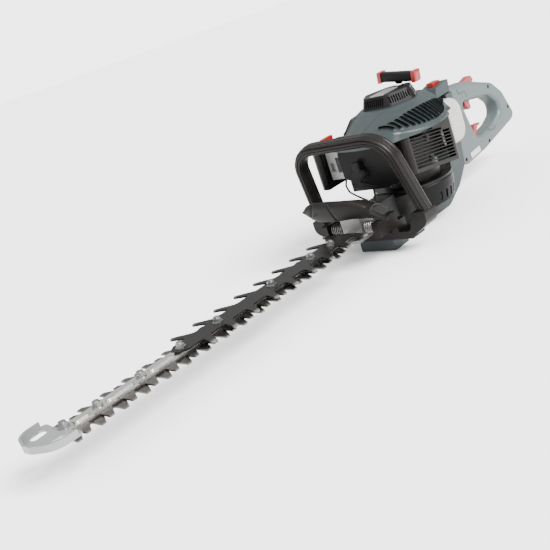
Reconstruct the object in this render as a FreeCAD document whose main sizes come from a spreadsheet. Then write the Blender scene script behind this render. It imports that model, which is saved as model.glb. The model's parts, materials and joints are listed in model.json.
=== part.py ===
import FreeCAD, Part
import math
import os
import re
from FreeCAD import Placement, Rotation, Vector

# A two-stroke hedge trimmer with a double-sided reciprocating blade.
# Frame: +X points back to the rear handle, +Y to the air filter side, +Z up.
# The origin is where the vertical crank axis meets the plane that the bow frame stands on.
# All sizes are millimetres.  Each size below is written once and is used by name.

SIZES = {
    # cutting set
    "tooth_pitch": (34.8, "distance from one steel tooth to the next"),
    "tooth_reach": (34.0, "steel tooth tip from the blade's centre line"),
    "tooth_count": (15, "steel teeth on each side of a blade"),
    "blade_front": (-764.0, "front end of both blades at mid stroke"),
    "blade_tail": (-80.0, "rear end of both blades at mid stroke"),
    "blade_half": (13.0, "half width of a blade between its teeth"),
    "blade_thick": (2.2, "thickness of one blade"),
    "blade_mid": (47.0, "height of the plane between the two blades"),
    "blade_gap": (0.3, "running gap above, between and below the blades"),
    "stroke": (17.4, "full travel of one blade"),
    "bar_half": (11.0, "half width of the guide bar"),
    "bar_thick": (3.4, "thickness of the guide bar"),
    "rib_rise": (2.4, "height of the bar's raised rib"),
    "comb_pitch": (41.7, "distance from one comb finger to the next"),
    "comb_first": (-538.5, "tip of the front comb finger"),
    "comb_count": (9, "comb fingers on each side"),
    "comb_reach": (44.0, "comb finger tip from the centre line"),
    "comb_half": (17.0, "half width of the comb's spine"),
    "comb_thick": (2.6, "thickness of the comb"),
    "bolt_first": (-746.0, "front blade bolt"),
    "bolt_radius": (4.0, "shoulder radius of a blade bolt"),
    "tip_front": (-797.0, "front of the tip guard"),
    "tip_half": (42.0, "half width of the tip guard"),
    "tip_pan": (2.4, "thickness of the tip guard's floor"),
    "tip_rim": (9.0, "height of the tip guard's rim"),
    # gear box
    "gear_module": (1.5, "tooth module of the gear pair"),
    "pinion_teeth": (12, "teeth of the pinion"),
    "gear_teeth": (48, "teeth of the drive gear"),
    "gear_face": (8.0, "face width of the drive gear"),
    "gear_low": (53.8, "underside of the drive gear"),
    "shaft_radius": (5.0, "radius of the gear shafts"),
    "shaft_fit": (0.05, "radial clearance of a shaft in its bore"),
    "case_wall": (4.0, "wall of the gear case"),
    "case_floor": (30.0, "underside of the gear case"),
    "case_top": (68.0, "top of the gear case"),
    "case_front": (-196.0, "front end of the gear case's snout"),
    "snout_half": (19.0, "half width of the snout"),
    "snout_top": (75.0, "top of the snout"),
    # engine
    "flange_radius": (66.0, "radius of the crankcase's lower flange"),
    "flange_thick": (4.0, "thickness of that flange"),
    "skirt_radius": (48.0, "outer radius of the clutch skirt"),
    "skirt_top": (100.0, "top of the clutch skirt"),
    "case_radius": (42.0, "outer radius of the crankcase"),
    "crank_top": (150.0, "top of the crankcase"),
    "bore_height": (125.0, "height of the cylinder's axis"),
    "bore_radius": (17.0, "radius of the piston"),
    "crank_throw": (14.0, "crank pin from the crank axis"),
    "fin_half": (37.0, "half width of the cooling fins"),
    "fin_pitch": (8.0, "distance from fin to fin"),
    "head_front": (-112.0, "front of the cylinder head"),
    "fan_radius": (56.0, "radius of the flywheel fan"),
    "fan_low": (152.0, "underside of the flywheel"),
    "fan_tall": (24.0, "height of the flywheel fan"),
    "housing_radius": (66.0, "radius of the lower housing"),
    "housing_rim": (61.5, "radius of the lower housing at its lower rim"),
    "housing_low": (31.0, "lower edge of the lower housing"),
    "shell_wall": (3.0, "wall of the moulded covers"),
    "shroud_low": (165.0, "lower edge of the fan shroud"),
    "shroud_top": (205.0, "top of the fan shroud"),
    "shroud_front": (-126.0, "front end of the fan shroud"),
    "shroud_rear": (76.0, "rear end of the fan shroud"),
    "shroud_half": (77.0, "half width of the fan shroud"),
    "starter_radius": (47.0, "radius of the starter cover"),
    "starter_tall": (18.0, "height of the starter cover above the shroud"),
    "reel_radius": (33.0, "radius of the starter reel"),
    "rope_radius": (28.0, "radius that the starter rope winds on"),
    "grip_x": (38.0, "starter grip behind the crank axis"),
    "grip_long": (76.0, "length of the starter grip"),
    "grip_thick": (18.0, "thickness of the starter grip"),
    "grip_tilt": (8.5, "tilt of the starter grip at rest"),
    "cover_front": (-104.0, "front end of the louvred cover"),
    "cover_rear": (30.0, "rear end of the louvred cover"),
    "cover_low": (88.0, "lower rear corner of the louvred cover"),
    "cover_rise": (20.0, "rise of the louvred cover's lower edge to its front"),
    "slat_pitch": (5.3, "distance between the slots of the louvred cover"),
    "cover_out": (84.0, "outer face of the louvred cover from the middle"),
    "louvre_count": (11, "slots in the louvred cover"),
    "filter_out": (98.0, "outer face of the air filter cover from the middle"),
    "tank_front": (78.0, "front of the fuel tank"),
    "tank_rear": (127.0, "rear of the fuel tank"),
    "tank_half": (47.0, "half width of the fuel tank"),
    "tank_low": (96.0, "underside of the fuel tank"),
    "tank_top": (172.0, "top of the fuel tank"),
    # frame and handles
    "bow_half": (20.0, "half width of the bow frame"),
    "bow_thick": (13.0, "thickness of the bow's lower run"),
    "foot_front": (-136.0, "front of the bow's foot"),
    "foot_half": (34.0, "half width of the foot"),
    "swivel_x": (140.0, "swivel centre behind the crank axis"),
    "swivel_z": (112.0, "height of the swivel centre"),
    "swivel_tilt": (8.0, "tilt of the swivel axis, rear end down"),
    "swivel_radius": (14.0, "radius of the swivel hub"),
    "swivel_gap": (0.4, "gap between the frame and the rear handle"),
    "handle_half": (15.5, "half thickness of the rear handle"),
    "handle_wall": (3.0, "wall of the rear handle's shells"),
    "handle_long": (207.0, "length of the rear handle"),
    "loop_half": (102.5, "loop handle's leg from the middle at its foot"),
    "loop_top_half": (87.5, "loop handle's leg from the middle near the top"),
    "loop_height": (126.5, "height of the loop's centre line above its foot"),
    "loop_corner": (40.0, "corner radius of the loop's centre line"),
    "loop_lean": (13.0, "forward lean of the loop"),
    "loop_x": (-128.0, "centre of the loop's legs at the foot"),
    "loop_wide": (16.5, "width of the loop's section across the opening"),
    "loop_deep": (24.0, "depth of the loop's section"),
    "bracket_low": (21.0, "underside of the loop bracket"),
    "bracket_top": (62.0, "top of the loop bracket's end blocks"),
    "bracket_out": (111.5, "outer face of the loop bracket from the middle"),
    "guard_half": (82.0, "half width of the hand guard"),
    "guard_low": (76.0, "lower edge of the hand guard"),
    "guard_top": (110.0, "upper edge of the hand guard"),
    "guard_x": (-200.0, "front face of the hand guard"),
    "spring_wire": (1.6, "wire radius of the isolation springs"),
    "spring_radius": (8.0, "coil radius of the isolation springs"),
}

BOLT_STEPS = (0, 1.4, 3.4, 5.4, 7.4, 10.6, 13.2, 14.6)   # in tooth pitches behind the front bolt

doc = FreeCAD.newDocument("hedge_trimmer")
sheet = doc.addObject("Spreadsheet::Sheet", "dims")
for row, (alias, (value, note)) in enumerate(SIZES.items(), start=1):
    sheet.set(f"A{row}", note)
    sheet.set(f"B{row}", str(value))
    sheet.setAlias(f"B{row}", alias)
doc.recompute()

WORD = re.compile(r"[a-z][a-z_0-9]*")
nodes = []


# ---------------------------------------------------------------- helpers

def size(alias):
    """A size as the sheet holds it."""
    return float(sheet.get(alias))


def tie(obj, prop, text):
    """Binds a property to an expression in which the sheet's sizes stand by name."""
    def full(match):
        word = match.group()
        return "dims." + word if word in SIZES else word
    obj.setExpression(prop, WORD.sub(full, str(text)))


def tie_base(obj, x, y, z):
    for letter, text in zip("xyz", (x, y, z)):
        tie(obj, "Placement.Base." + letter, text)


def block(x, y, z):
    """A box between pairs of coordinates."""
    obj = doc.addObject("Part::Box", "block")
    for prop, (low, high) in zip(("Length", "Width", "Height"), (x, y, z)):
        tie(obj, prop, f"({high}) - ({low})")
    tie_base(obj, x[0], y[0], z[0])
    return obj


def posed(part, placement):
    """The part's shape moved by a placement, in place of the part."""
    part.recompute()
    shape = part.Shape.copy()
    shape.Placement = placement.multiply(shape.Placement)
    doc.removeObject(part.Name)
    return made(shape)


TURNS = {"X": Rotation(Vector(0, 1, 0), 90), "Y": Rotation(Vector(1, 0, 0), -90), "Z": Rotation()}


def rod(at, radius, length, along="Z"):
    """A cylinder that starts at a point and runs along an axis."""
    obj = doc.addObject("Part::Cylinder", "rod")
    tie(obj, "Radius", radius)
    tie(obj, "Height", length)
    obj.Placement = Placement(Vector(), TURNS[along])
    tie_base(obj, *at)
    return obj


def taper(at, radius, far_radius, length, along="Z"):
    """A cone frustum that starts at a point and runs along an axis."""
    obj = doc.addObject("Part::Cone", "taper")
    tie(obj, "Radius1", radius)
    tie(obj, "Radius2", far_radius)
    tie(obj, "Height", length)
    obj.Placement = Placement(Vector(), TURNS[along])
    tie_base(obj, *at)
    return obj


def joined(*parts):
    if len(parts) == 1:
        return parts[0]
    obj = doc.addObject("Part::MultiFuse", "joined")
    obj.Shapes = list(parts)
    return obj


def minus(base, *tools):
    obj = doc.addObject("Part::Cut", "minus")
    obj.Base = base
    obj.Tool = tools[0] if len(tools) == 1 else joined(*tools)
    return obj


def group(*parts):
    obj = doc.addObject("Part::Compound", "group")
    obj.Links = list(parts)
    return obj


def made(shape):
    """A feature whose shape is worked out in code."""
    obj = doc.addObject("Part::Feature", "made")
    obj.Shape = shape
    return obj


def node(label, obj, placement=None):
    """Names a sub-part and adds it to those that are written."""
    obj.Label = label
    if placement is not None:
        obj.Placement = placement.multiply(obj.Placement)
    nodes.append(obj)
    return obj


def outline(points):
    """Closed outline: straight runs between points, each corner rounded by the point's third value."""
    edges = []
    count = len(points)
    starts = []
    ends = []
    for i in range(count):
        here = Vector(points[i][0], points[i][1], 0)
        radius = points[i][2] if len(points[i]) > 2 else 0
        if not radius:
            starts.append(here)
            ends.append(here)
            continue
        back = Vector(points[i - 1][0], points[i - 1][1], 0) - here
        ahead = Vector(points[(i + 1) % count][0], points[(i + 1) % count][1], 0) - here
        half = back.getAngle(ahead) / 2
        run = radius / math.tan(half)
        enter = here + Vector(back).normalize() * run
        leave = here + Vector(ahead).normalize() * run
        bisector = (Vector(back).normalize() + Vector(ahead).normalize()).normalize()
        middle = here + bisector * (radius / math.sin(half) - radius)
        edges.append((i, Part.Arc(enter, middle, leave)))
        starts.append(enter)
        ends.append(leave)
    for i in range(count):
        a = ends[i]
        b = starts[(i + 1) % count]
        if a.distanceToPoint(b) > 1e-6:
            edges.append((i + 0.5, Part.LineSegment(a, b)))
    return [edge for _, edge in sorted(edges, key=lambda pair: pair[0])]


def circle(x, y, radius):
    return [Part.Circle(Vector(x, y, 0), Vector(0, 0, 1), radius)]


def slot(x, y, half_length, half_width):
    """A round-ended slot along the first axis."""
    low = Vector(x - half_length + half_width, y, 0)
    high = Vector(x + half_length - half_width, y, 0)
    up = Vector(0, half_width, 0)
    out = Vector(half_width, 0, 0)
    return [
        Part.LineSegment(low + up, high + up),
        Part.Arc(high + up, high + out, high - up),
        Part.LineSegment(high - up, low - up),
        Part.Arc(low - up, low - out, low + up),
    ]


def plane_of(body, role):
    for feature in body.Origin.OriginFeatures:
        if feature.Role == role:
            return feature
    raise ValueError("no plane " + role)


def plate(role, start, thick, *loops):
    """A body padded from a sketch on one of its own origin planes, from start along the plane's normal."""
    body = doc.addObject("PartDesign::Body", "plate")
    sketch = body.newObject("Sketcher::SketchObject", "outline")
    sketch.AttachmentSupport = [(plane_of(body, role), "")]
    sketch.MapMode = "FlatFace"
    tie(sketch, "AttachmentOffset.Base.z", start)
    for loop in loops:
        sketch.addGeometry(loop, False)
    pad = body.newObject("PartDesign::Pad", "pad")
    pad.Profile = sketch
    tie(pad, "Length", thick)
    body.Tip = pad
    return body


def turned(points):
    """A body turned about the Z axis from a half section of (radius, height) points."""
    body = doc.addObject("PartDesign::Body", "turned")
    sketch = body.newObject("Sketcher::SketchObject", "half_section")
    sketch.AttachmentSupport = [(plane_of(body, "XZ_Plane"), "")]
    sketch.MapMode = "FlatFace"
    sketch.addGeometry(outline(points), False)
    spin = body.newObject("PartDesign::Revolution", "revolution")
    spin.Profile = sketch
    spin.ReferenceAxis = (sketch, ["V_Axis"])
    spin.Angle = 360
    body.Tip = spin
    return body


def face_of(edges):
    return Part.Face(Part.Wire(Part.sortEdges([edge.toShape() for edge in edges])[0]))


def tube_path(points, bend):
    """Straight runs joined by tangent arcs."""
    edges = []
    last = points[0]
    for i in range(1, len(points) - 1):
        back = (points[i - 1] - points[i]).normalize()
        ahead = (points[i + 1] - points[i]).normalize()
        half = back.getAngle(ahead) / 2
        run = bend / math.tan(half)
        enter = points[i] + back * run
        leave = points[i] + ahead * run
        middle = points[i] + (back + ahead).normalize() * (bend / math.sin(half) - bend)
        edges.append(Part.LineSegment(last, enter).toShape())
        edges.append(Part.Arc(enter, middle, leave).toShape())
        last = leave
    edges.append(Part.LineSegment(last, points[-1]).toShape())
    return Part.Wire(edges)


def swept(path, section):
    """A solid of one closed section carried along a path."""
    shell = Part.BRepOffsetAPI.MakePipeShell(path)
    shell.setFrenetMode(True)
    shell.add(section)
    shell.build()
    shell.makeSolid()
    return shell.shape()


def round_section(path, radius):
    start = path.Edges[0].valueAt(path.Edges[0].FirstParameter)
    along = path.Edges[0].tangentAt(path.Edges[0].FirstParameter)
    return Part.Wire([Part.makeCircle(radius, start, along)])


# ---------------------------------------------------------------- cutting set

bolt_x = [size("bolt_first") + step * size("tooth_pitch") for step in BOLT_STEPS]
comb_front = bolt_x[3] - 13
bar_low = "blade_mid + blade_gap / 2 + blade_thick + blade_gap"
bar_top = bar_low + " + bar_thick"


def toothed(first_tip, slots):
    """A blade's outline: a spine with forward-hooked teeth on both edges, and its slots."""
    pitch = size("tooth_pitch")
    half = size("blade_half")
    reach = size("tooth_reach")
    front = size("blade_front")
    tail = size("blade_tail")
    near = [(front, 0)]
    for i in range(int(size("tooth_count"))):
        tip = first_tip + i * pitch
        near.append((tip - 0.06 * pitch, half, 2))
        near.append((tip - 0.09 * pitch, reach))
        near.append((tip + 0.12 * pitch, reach))
        near.append((tip + 0.46 * pitch, half, 3))
    near.append((tail, half))
    far = [(p[0], -p[1], *p[2:]) for p in reversed(near[1:])]
    return [outline(near + far)] + slots


def blade_slots():
    long = size("bolt_radius") + size("stroke") / 2 + size("blade_gap")
    wide = size("bolt_radius") + size("blade_gap")
    return [slot(x, 0, long, wide) for x in bolt_x]


def cutting_blades():
    pitch = size("tooth_pitch")
    first = size("blade_front") + 0.75 * pitch
    low = "blade_mid - blade_gap / 2 - blade_thick"
    node("upper_blade", plate("XY_Plane", "blade_mid + blade_gap / 2", "blade_thick",
                              *toothed(first, blade_slots())))
    node("lower_blade", plate("XY_Plane", low, "blade_thick",
                              *toothed(first - pitch / 2 + 0.1 * pitch, blade_slots())))


def guide_bar():
    front = size("bolt_first") - 16
    rear = size("case_front") + 100
    half = size("bar_half")
    holes = [circle(x, 0, size("bolt_radius")) for x in bolt_x]
    flat = plate("XY_Plane", bar_low, "bar_thick",
                 outline([(front, -half, 6), (rear, -half), (rear, half), (front, half, 6)]), *holes)
    ribs = []
    for i in range(len(bolt_x) - 1):
        start = bolt_x[i] + 11
        end = bolt_x[i + 1] - 14
        if end < comb_front + 3:
            ribs.append(plate("XY_Plane", bar_top, "rib_rise",
                              outline([(start, -6, 5), (end, -6, 5), (end, 6, 5), (start, 6, 5)])))
    node("guide_bar", joined(flat, *ribs))


def blunt_comb():
    """The extension that reaches past the steel teeth along the rear half of the blade."""
    pitch = size("comb_pitch")
    half = size("comb_half")
    reach = size("comb_reach")
    front = comb_front
    rear = size("case_front") + 2
    near = [(front, 0), (front, 8, 7), (front + 14, half, 6)]
    for i in range(int(size("comb_count"))):
        tip = size("comb_first") + i * pitch
        near.append((tip + 5, half, 3))
        near.append((tip - 3, reach - 3, 1.5))
        near.append((tip, reach, 1))
        near.append((tip + 4, reach, 1))
        near.append((tip + 20, half, 6))
    near = [p for p in near if p[0] < rear - 1]
    near.append((rear, half))
    far = [(p[0], -p[1], *p[2:]) for p in reversed(near[1:])]
    holes = [circle(x, 0, size("bolt_radius")) for x in bolt_x if front < x < rear]
    node("blunt_comb", plate("XY_Plane", bar_top, "comb_thick", outline(near + far), *holes))


def bolts_and_nuts():
    """Shoulder bolts from below, and the nuts with their washers on top."""
    bolts = []
    nuts = []
    for x in bolt_x:
        seat = bar_top + (" + comb_thick" if x > comb_front else "")
        if x == bolt_x[0]:
            seat = bar_top + " + tip_pan"
        low = "blade_mid - blade_gap * 1.5 - blade_thick"
        head = rod((x, 0, low + " - 2.4"), "bolt_radius + 3.5", 2.4)
        shoulder = rod((x, 0, low), "bolt_radius", f"({seat}) - ({low})")
        thread = rod((x, 0, seat), "bolt_radius - 1.5", 8.4)
        bolts.append(joined(head, shoulder, thread))
        washer = rod((x, 0, seat), "bolt_radius + 3.2", 1.2)
        hexagon = doc.addObject("Part::Prism", "hexagon")
        hexagon.Polygon = 6
        tie(hexagon, "Circumradius", "bolt_radius + 1.8")
        tie(hexagon, "Height", 4.6)
        tie_base(hexagon, x, 0, seat + " + 1.2")
        collar = rod((x, 0, seat + " + 5.8"), "bolt_radius + 0.6", 2.0)
        hole = rod((x, 0, seat), "bolt_radius - 1.5", 9)
        nuts.append(minus(joined(washer, hexagon, collar), hole))
    node("blade_bolts", group(*bolts))
    node("lock_nuts", group(*nuts))


def tip_guard():
    """A flat spoon at the bar's end with a rim round its front."""
    half = size("tip_half")
    front = size("tip_front")
    rear = size("bolt_first")
    outer = [(rear + 9, -9, 3), (rear - 4, -9, 3), (rear + 1, -half + 1, 6), (front + 14, -half, 26),
             (front, -8, 12), (front, 8, 12), (front + 14, half, 26), (rear + 1, half - 1, 6),
             (rear - 4, 9, 3), (rear + 9, 9, 3)]
    window = [(rear - 14, 15, 4), (front + 19, 14, 5), (front + 18, half - 12, 8), (rear - 8, half - 10, 6)]
    far = [(p[0], -p[1], p[2]) for p in reversed(window)]
    inner = [(p[0] + 3.2, p[1] * 0.93, p[2] * 0.9) for p in outer[2:8]]
    seat = bar_low + " + bar_thick"
    pan = plate("XY_Plane", seat, "tip_pan", outline(outer), outline(window), outline(far),
                circle(rear, 0, size("bolt_radius")))
    rim = plate("XY_Plane", seat, "tip_rim", outline(outer[2:8]))
    room = plate("XY_Plane", seat + " - 1", "tip_rim + 2", outline(inner))
    keep = block((front - 5, rear - 7), (-half - 5, half + 5), (seat, seat + " + tip_rim"))
    rim_part = doc.addObject("Part::MultiCommon", "front_rim")
    rim_part.Shapes = [minus(rim, room), keep]
    node("tip_guard", joined(pan, rim_part))


# ---------------------------------------------------------------- gear box

gear_radius = "gear_module * gear_teeth / 2"
pinion_radius = "gear_module * pinion_teeth / 2"
gear_x = f"-({gear_radius} + {pinion_radius} + 0.1)"


def gear_outline(teeth, phase):
    """Trapezium teeth, thinned so that the pair runs with backlash."""
    module = size("gear_module")
    pitch_radius = module * teeth / 2
    points = []
    for i in range(teeth):
        middle = 2 * math.pi * (i + phase) / teeth
        for radius, width in ((pitch_radius - 1.25 * module, -1.5), (pitch_radius + module, -0.55),
                              (pitch_radius + module, 0.55), (pitch_radius - 1.25 * module, 1.5)):
            turn = middle + width * module / 1.5 / radius
            points.append((radius * math.cos(turn), radius * math.sin(turn)))
    return points


def gear_train():
    gear_mid = -(size("gear_module") * (size("gear_teeth") + size("pinion_teeth")) / 2 + 0.1)
    teeth = [(x + gear_mid, y) for x, y in gear_outline(int(size("gear_teeth")), 0.5)]
    wheel = plate("XY_Plane", "gear_low", "gear_face", outline(teeth))
    throw = "stroke / 2"
    low = "blade_mid - blade_gap / 2 - blade_thick"
    upper_disc = rod((gear_x, throw, "blade_mid + 0.15"), 13, "gear_low - blade_mid - 0.15")
    lower_disc = rod((gear_x, "-stroke / 2", low), 13, "blade_thick")
    web = rod((gear_x, 0, low), 9, "blade_thick + 1")
    shaft = rod((gear_x, 0, "case_floor + 1"), "shaft_radius", "case_top - case_floor - 2")
    node("drive_gear", joined(wheel, upper_disc, lower_disc, web, shaft))
    small = plate("XY_Plane", "gear_low - 0.5", "gear_face + 1",
                  outline(gear_outline(int(size("pinion_teeth")), 0.0)))
    node("pinion_shaft", joined(small, rod((0, 0, "case_floor + 12"), "shaft_radius", 35)))


def gear_case():
    wall = f"({gear_radius} + gear_module + 2 + case_wall)"
    room = f"({gear_radius} + gear_module + 2)"
    seam = bar_top
    tunnel = block(("case_front - 1", -60), ("-blade_half - 0.6", "blade_half + 0.6"),
                   ("blade_mid - blade_gap * 1.5 - blade_thick", bar_low))
    bar_room = block(("case_front - 1", "case_front + 100"), ("-bar_half", "bar_half"), (bar_low, bar_top))
    fit = "shaft_radius + shaft_fit"
    base_round = rod((gear_x, 0, "case_floor"), wall, f"({seam}) - case_floor")
    base_tail = block((gear_x, 16), (-18, 18), ("case_floor", seam))
    base_snout = block(("case_front", -70), ("-snout_half", "snout_half"), ("case_floor + 8", seam))
    base_room = rod((gear_x, 0, "case_floor + case_wall"), room, f"({seam}) - case_floor")
    pinion_room = rod((0, 0, "gear_low - 2"), 13, 30)
    base_bore = rod((gear_x, 0, "case_floor - 1"), fit, 20)
    pinion_bore = rod((0, 0, "case_floor + 11"), fit, 30)
    tooth_room = block(("-blade_half - 300", "case_front + 14"), (-60, 60), ("blade_mid - 4", bar_top))
    bolt_room = joined(*[rod((x, 0, "case_floor"), "bolt_radius + 4.2", 14.3) for x in bolt_x[-1:]])
    node("gear_case_base", minus(joined(base_round, base_tail, base_snout), base_room, pinion_room, tunnel,
                                 bar_room, base_bore, pinion_bore, bolt_room, tooth_room))
    top_round = rod((gear_x, 0, seam), wall, f"case_top - ({seam})")
    top_tail = block((gear_x, 16), (-18, 18), (seam, "case_top"))
    top_snout = block(("case_front + 14", -84), ("-snout_half", "snout_half"), (seam, "snout_top"))
    top_room = rod((gear_x, 0, f"({seam}) - 1"), room, "case_top - case_wall - " + f"({seam}) + 1")
    top_bore = rod((gear_x, 0, "case_top - 10"), fit, 20)
    pinion_top = rod((0, 0, f"({seam}) - 1"), 13, f"case_top - case_wall - ({seam}) + 1")
    pinion_hole = rod((0, 0, "case_top - 10"), fit, 20)
    node("gear_case_top", minus(joined(top_round, top_tail, top_snout), top_room, top_bore, pinion_top,
                                pinion_hole))


def clutch():
    """A drum on the pinion shaft, and three shoes with their spring on the crankshaft."""
    base = "case_top + 6"
    cup = minus(rod((0, 0, base), 32, 22), rod((0, 0, base + " + 2.5"), 30, 22),
                rod((0, 0, "case_top"), "shaft_radius", 40))
    node("clutch_drum", cup)
    disc = minus(rod((0, 0, base + " + 7"), 28, 12), rod((0, 0, base + " + 6"), 14, 14))
    cuts = []
    for i in range(3):
        cut = block((0, 40), (-1.5, 1.5), (base + " + 6", base + " + 20"))
        cuts.append(posed(cut, Placement(Vector(), Rotation(Vector(0, 0, 1), 120 * i))))
    node("clutch_shoes", minus(disc, *cuts))


def lower_housing():
    """The round skirt below the engine, open below, with cooling slots round its side."""
    radius = size("housing_radius")
    wall = size("shell_wall")
    low = size("housing_low")
    top = size("case_top")
    flange = size("flange_radius")
    rim = size("housing_rim")
    section = [(rim - wall, low), (rim, low), (radius, top - 14, 8), (flange, top, 3), (flange - 6, top),
               (flange - 6, top - wall), (radius - wall, top - 16, 6)]
    shell = turned(section)
    mouth = block(("-housing_radius - 2", -28), (-47.5, 47.5), ("housing_low - 1", "case_top + 1"))
    cuts = [mouth]
    for i in range(-9, 10):
        cut = block(("housing_rim - 8", "housing_radius + 4"), (-2.4, 2.4),
                    ("housing_low + 5", "housing_low + 19"))
        cuts.append(posed(cut, Placement(Vector(), Rotation(Vector(0, 0, 1), 12 * i))))
    node("lower_housing", minus(shell, *cuts))


# ---------------------------------------------------------------- engine

def crankcase():
    top = "case_top"
    flange = rod((0, 0, top), "flange_radius", "flange_thick")
    skirt = rod((0, 0, top), "skirt_radius", f"skirt_top - {top}")
    body = rod((0, 0, "skirt_top - 1"), "case_radius", "crank_top - skirt_top + 1")
    port = block(("-case_radius - 4", 0), (-30, 30), ("bore_height - 22", "bore_height + 22"))
    clutch_room = rod((0, 0, top + " - 1"), "skirt_radius - 4", f"skirt_top - {top} - 3")
    room = rod((0, 0, "skirt_top + 8"), 30, "crank_top - skirt_top - 16")
    shaft_hole = rod((0, 0, "skirt_top - 10"), 8.05, 80)
    bore = rod(("-case_radius - 6", 0, "bore_height"), "bore_radius + 0.05", "case_radius", "X")
    node("crankcase", minus(joined(flange, skirt, body, port), clutch_room, room, shaft_hole, bore))


def crankshaft():
    lower = rod((0, 0, "case_top + 10"), 5, "skirt_top - case_top")
    journal_low = rod((0, 0, "skirt_top - 8"), 8, "bore_height - 5 - skirt_top + 8")
    web_low = rod((0, 0, "bore_height - 13"), 26, 8)
    pin = rod(("-crank_throw", 0, "bore_height - 13"), 6, 26)
    web_high = rod((0, 0, "bore_height + 5"), 26, 8)
    journal_high = rod((0, 0, "bore_height + 5"), 8, "crank_top - bore_height - 5")
    upper = rod((0, 0, "crank_top - 2"), 6, "fan_low + fan_tall - crank_top + 12")
    boss = rod((0, 0, "case_top + 11"), 13.9, 14)
    node("crankshaft", joined(lower, journal_low, web_low, pin, web_high, journal_high, upper, boss))


def cylinder():
    rear = -size("case_radius") - 4
    front = size("head_front")
    barrel = rod((front, 0, "bore_height"), 25, rear - front, "X")
    fins = []
    x = rear - 12
    while x > front:
        fins.append(block((x - 2.2, x), ("-fin_half", "fin_half"), ("bore_height - 31", "bore_height + 31")))
        x -= size("fin_pitch")
    bore = rod((front + 10, 0, "bore_height"), "bore_radius + 0.05", rear - front, "X")
    plug_hole = rod((front - 1, 0, "bore_height"), 6, 12, "X")
    node("cylinder", minus(joined(barrel, *fins), bore, plug_hole))
    crown = minus(rod((front + 26, 0, "bore_height"), "bore_radius", 26, "X"),
                  rod((front + 31, 0, "bore_height"), "bore_radius - 3", 30, "X"))
    node("piston", crown)
    beam = block((front + 34, "-26 - 1.5"), (-4, 4), ("bore_height - 3.5", "bore_height + 3.5"))
    eye = rod((front + 38, 0, "bore_height - 4"), 7, 8)
    node("connecting_rod", joined(beam, eye))


def spark_plug():
    front = size("head_front")
    thread = rod((front + 0.5, 0, "bore_height"), 5.9, 9, "X")
    hexagon = rod((front - 6, 0, "bore_height"), 9, 6, "X")
    stem = rod((front - 11, 0, "bore_height"), 4, 6, "X")
    node("spark_plug", joined(thread, hexagon, stem))
    sleeve = minus(rod((front - 24, 0, "bore_height"), 9, 18, "X"),
                   rod((front - 11, 0, "bore_height"), 4, 6, "X"))
    elbow = rod((front - 18, 0, "bore_height"), 5.5, 22)
    node("plug_boot", joined(sleeve, minus(elbow, rod((front - 11, 0, "bore_height"), 4, 6, "X"))))


def flywheel_fan():
    hub = rod((0, 0, "fan_low"), 16, "fan_tall")
    disc = rod((0, 0, "fan_low"), "fan_radius", 3)
    vanes = []
    for i in range(14):
        vane = block((20, "fan_radius"), (-1.2, 1.2), ("fan_low", "fan_low + fan_tall - 4"))
        vanes.append(posed(vane, Placement(Vector(), Rotation(Vector(0, 0, 1), 360 / 14 * i))))
    node("flywheel_fan", minus(joined(hub, disc, *vanes), rod((0, 0, "fan_low - 1"), 6, 60)))


def exhaust():
    can = block((-84, 24), (-62, "-case_radius - 1.5"), ("bore_height - 20", "fan_low - 3"))
    pipe = rod((-78, "-case_radius - 1.5", "bore_height"), 9, "case_radius + 1.5 - fin_half", "Y")
    outlet = rod((14, -66, "bore_height - 10"), 6, 6, "Y")
    node("muffler", joined(can, pipe, outlet))


def louvred_cover():
    """A box-shaped cover over the muffler, its slots parallel to its slanted lower edge."""
    out = size("cover_out")
    low = size("cover_low")
    high = size("shroud_low")
    front = size("cover_front")
    rear = size("cover_rear")
    rise = size("cover_rise")
    wall = size("shell_wall")
    long = rear - front
    inner = 64
    outer = [(front, -out, 9), (rear, -out, 9), (rear, -inner), (front, -inner)]
    skin = plate("XY_Plane", "cover_low", "shroud_low - cover_low", outline(outer))
    below = [(front - 2, low - 2), (rear + 0.5, low - 2), (rear + 0.5, low), (front - 2, low + rise)]
    wedge = plate("XZ_Plane", inner - 2, out + 4 - inner, outline(below))
    inside = [(front + wall, low + rise + wall), (rear - wall, low + wall + 1), (rear - wall, high - wall),
              (front + wall, high - wall)]
    room = plate("XZ_Plane", inner - 1, out - wall + 1 - inner, outline(inside))
    lean = math.degrees(math.atan2(rise, long))
    pitch = size("slat_pitch")
    middle = (front + rear) / 2
    cuts = []
    for i in range(int(size("louvre_count"))):
        z = low + rise / 2 + 8 + i * pitch
        shorter = max(0, i - 8) * 22
        cut = block((-long / 2 + 12, long / 2 - 13 - shorter), (-1, wall + 3), (-0.36 * pitch, 0.36 * pitch))
        cuts.append(posed(cut, Placement(Vector(middle, -out - 1, z), Rotation(Vector(0, 1, 0), lean))))
    body = minus(skin, wedge, room, *cuts)
    spots = [(-47, low + 60.5), (-47, low + 27.5)]
    posts = [rod((x, -out, z), 5.5, wall, "Y") for x, z in spots]
    node("louvred_cover", joined(body, *posts))
    node("cover_screws", group(*[rod((x, "-cover_out - 1.2", z), 3, 1.2, "Y") for x, z in spots]))


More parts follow.
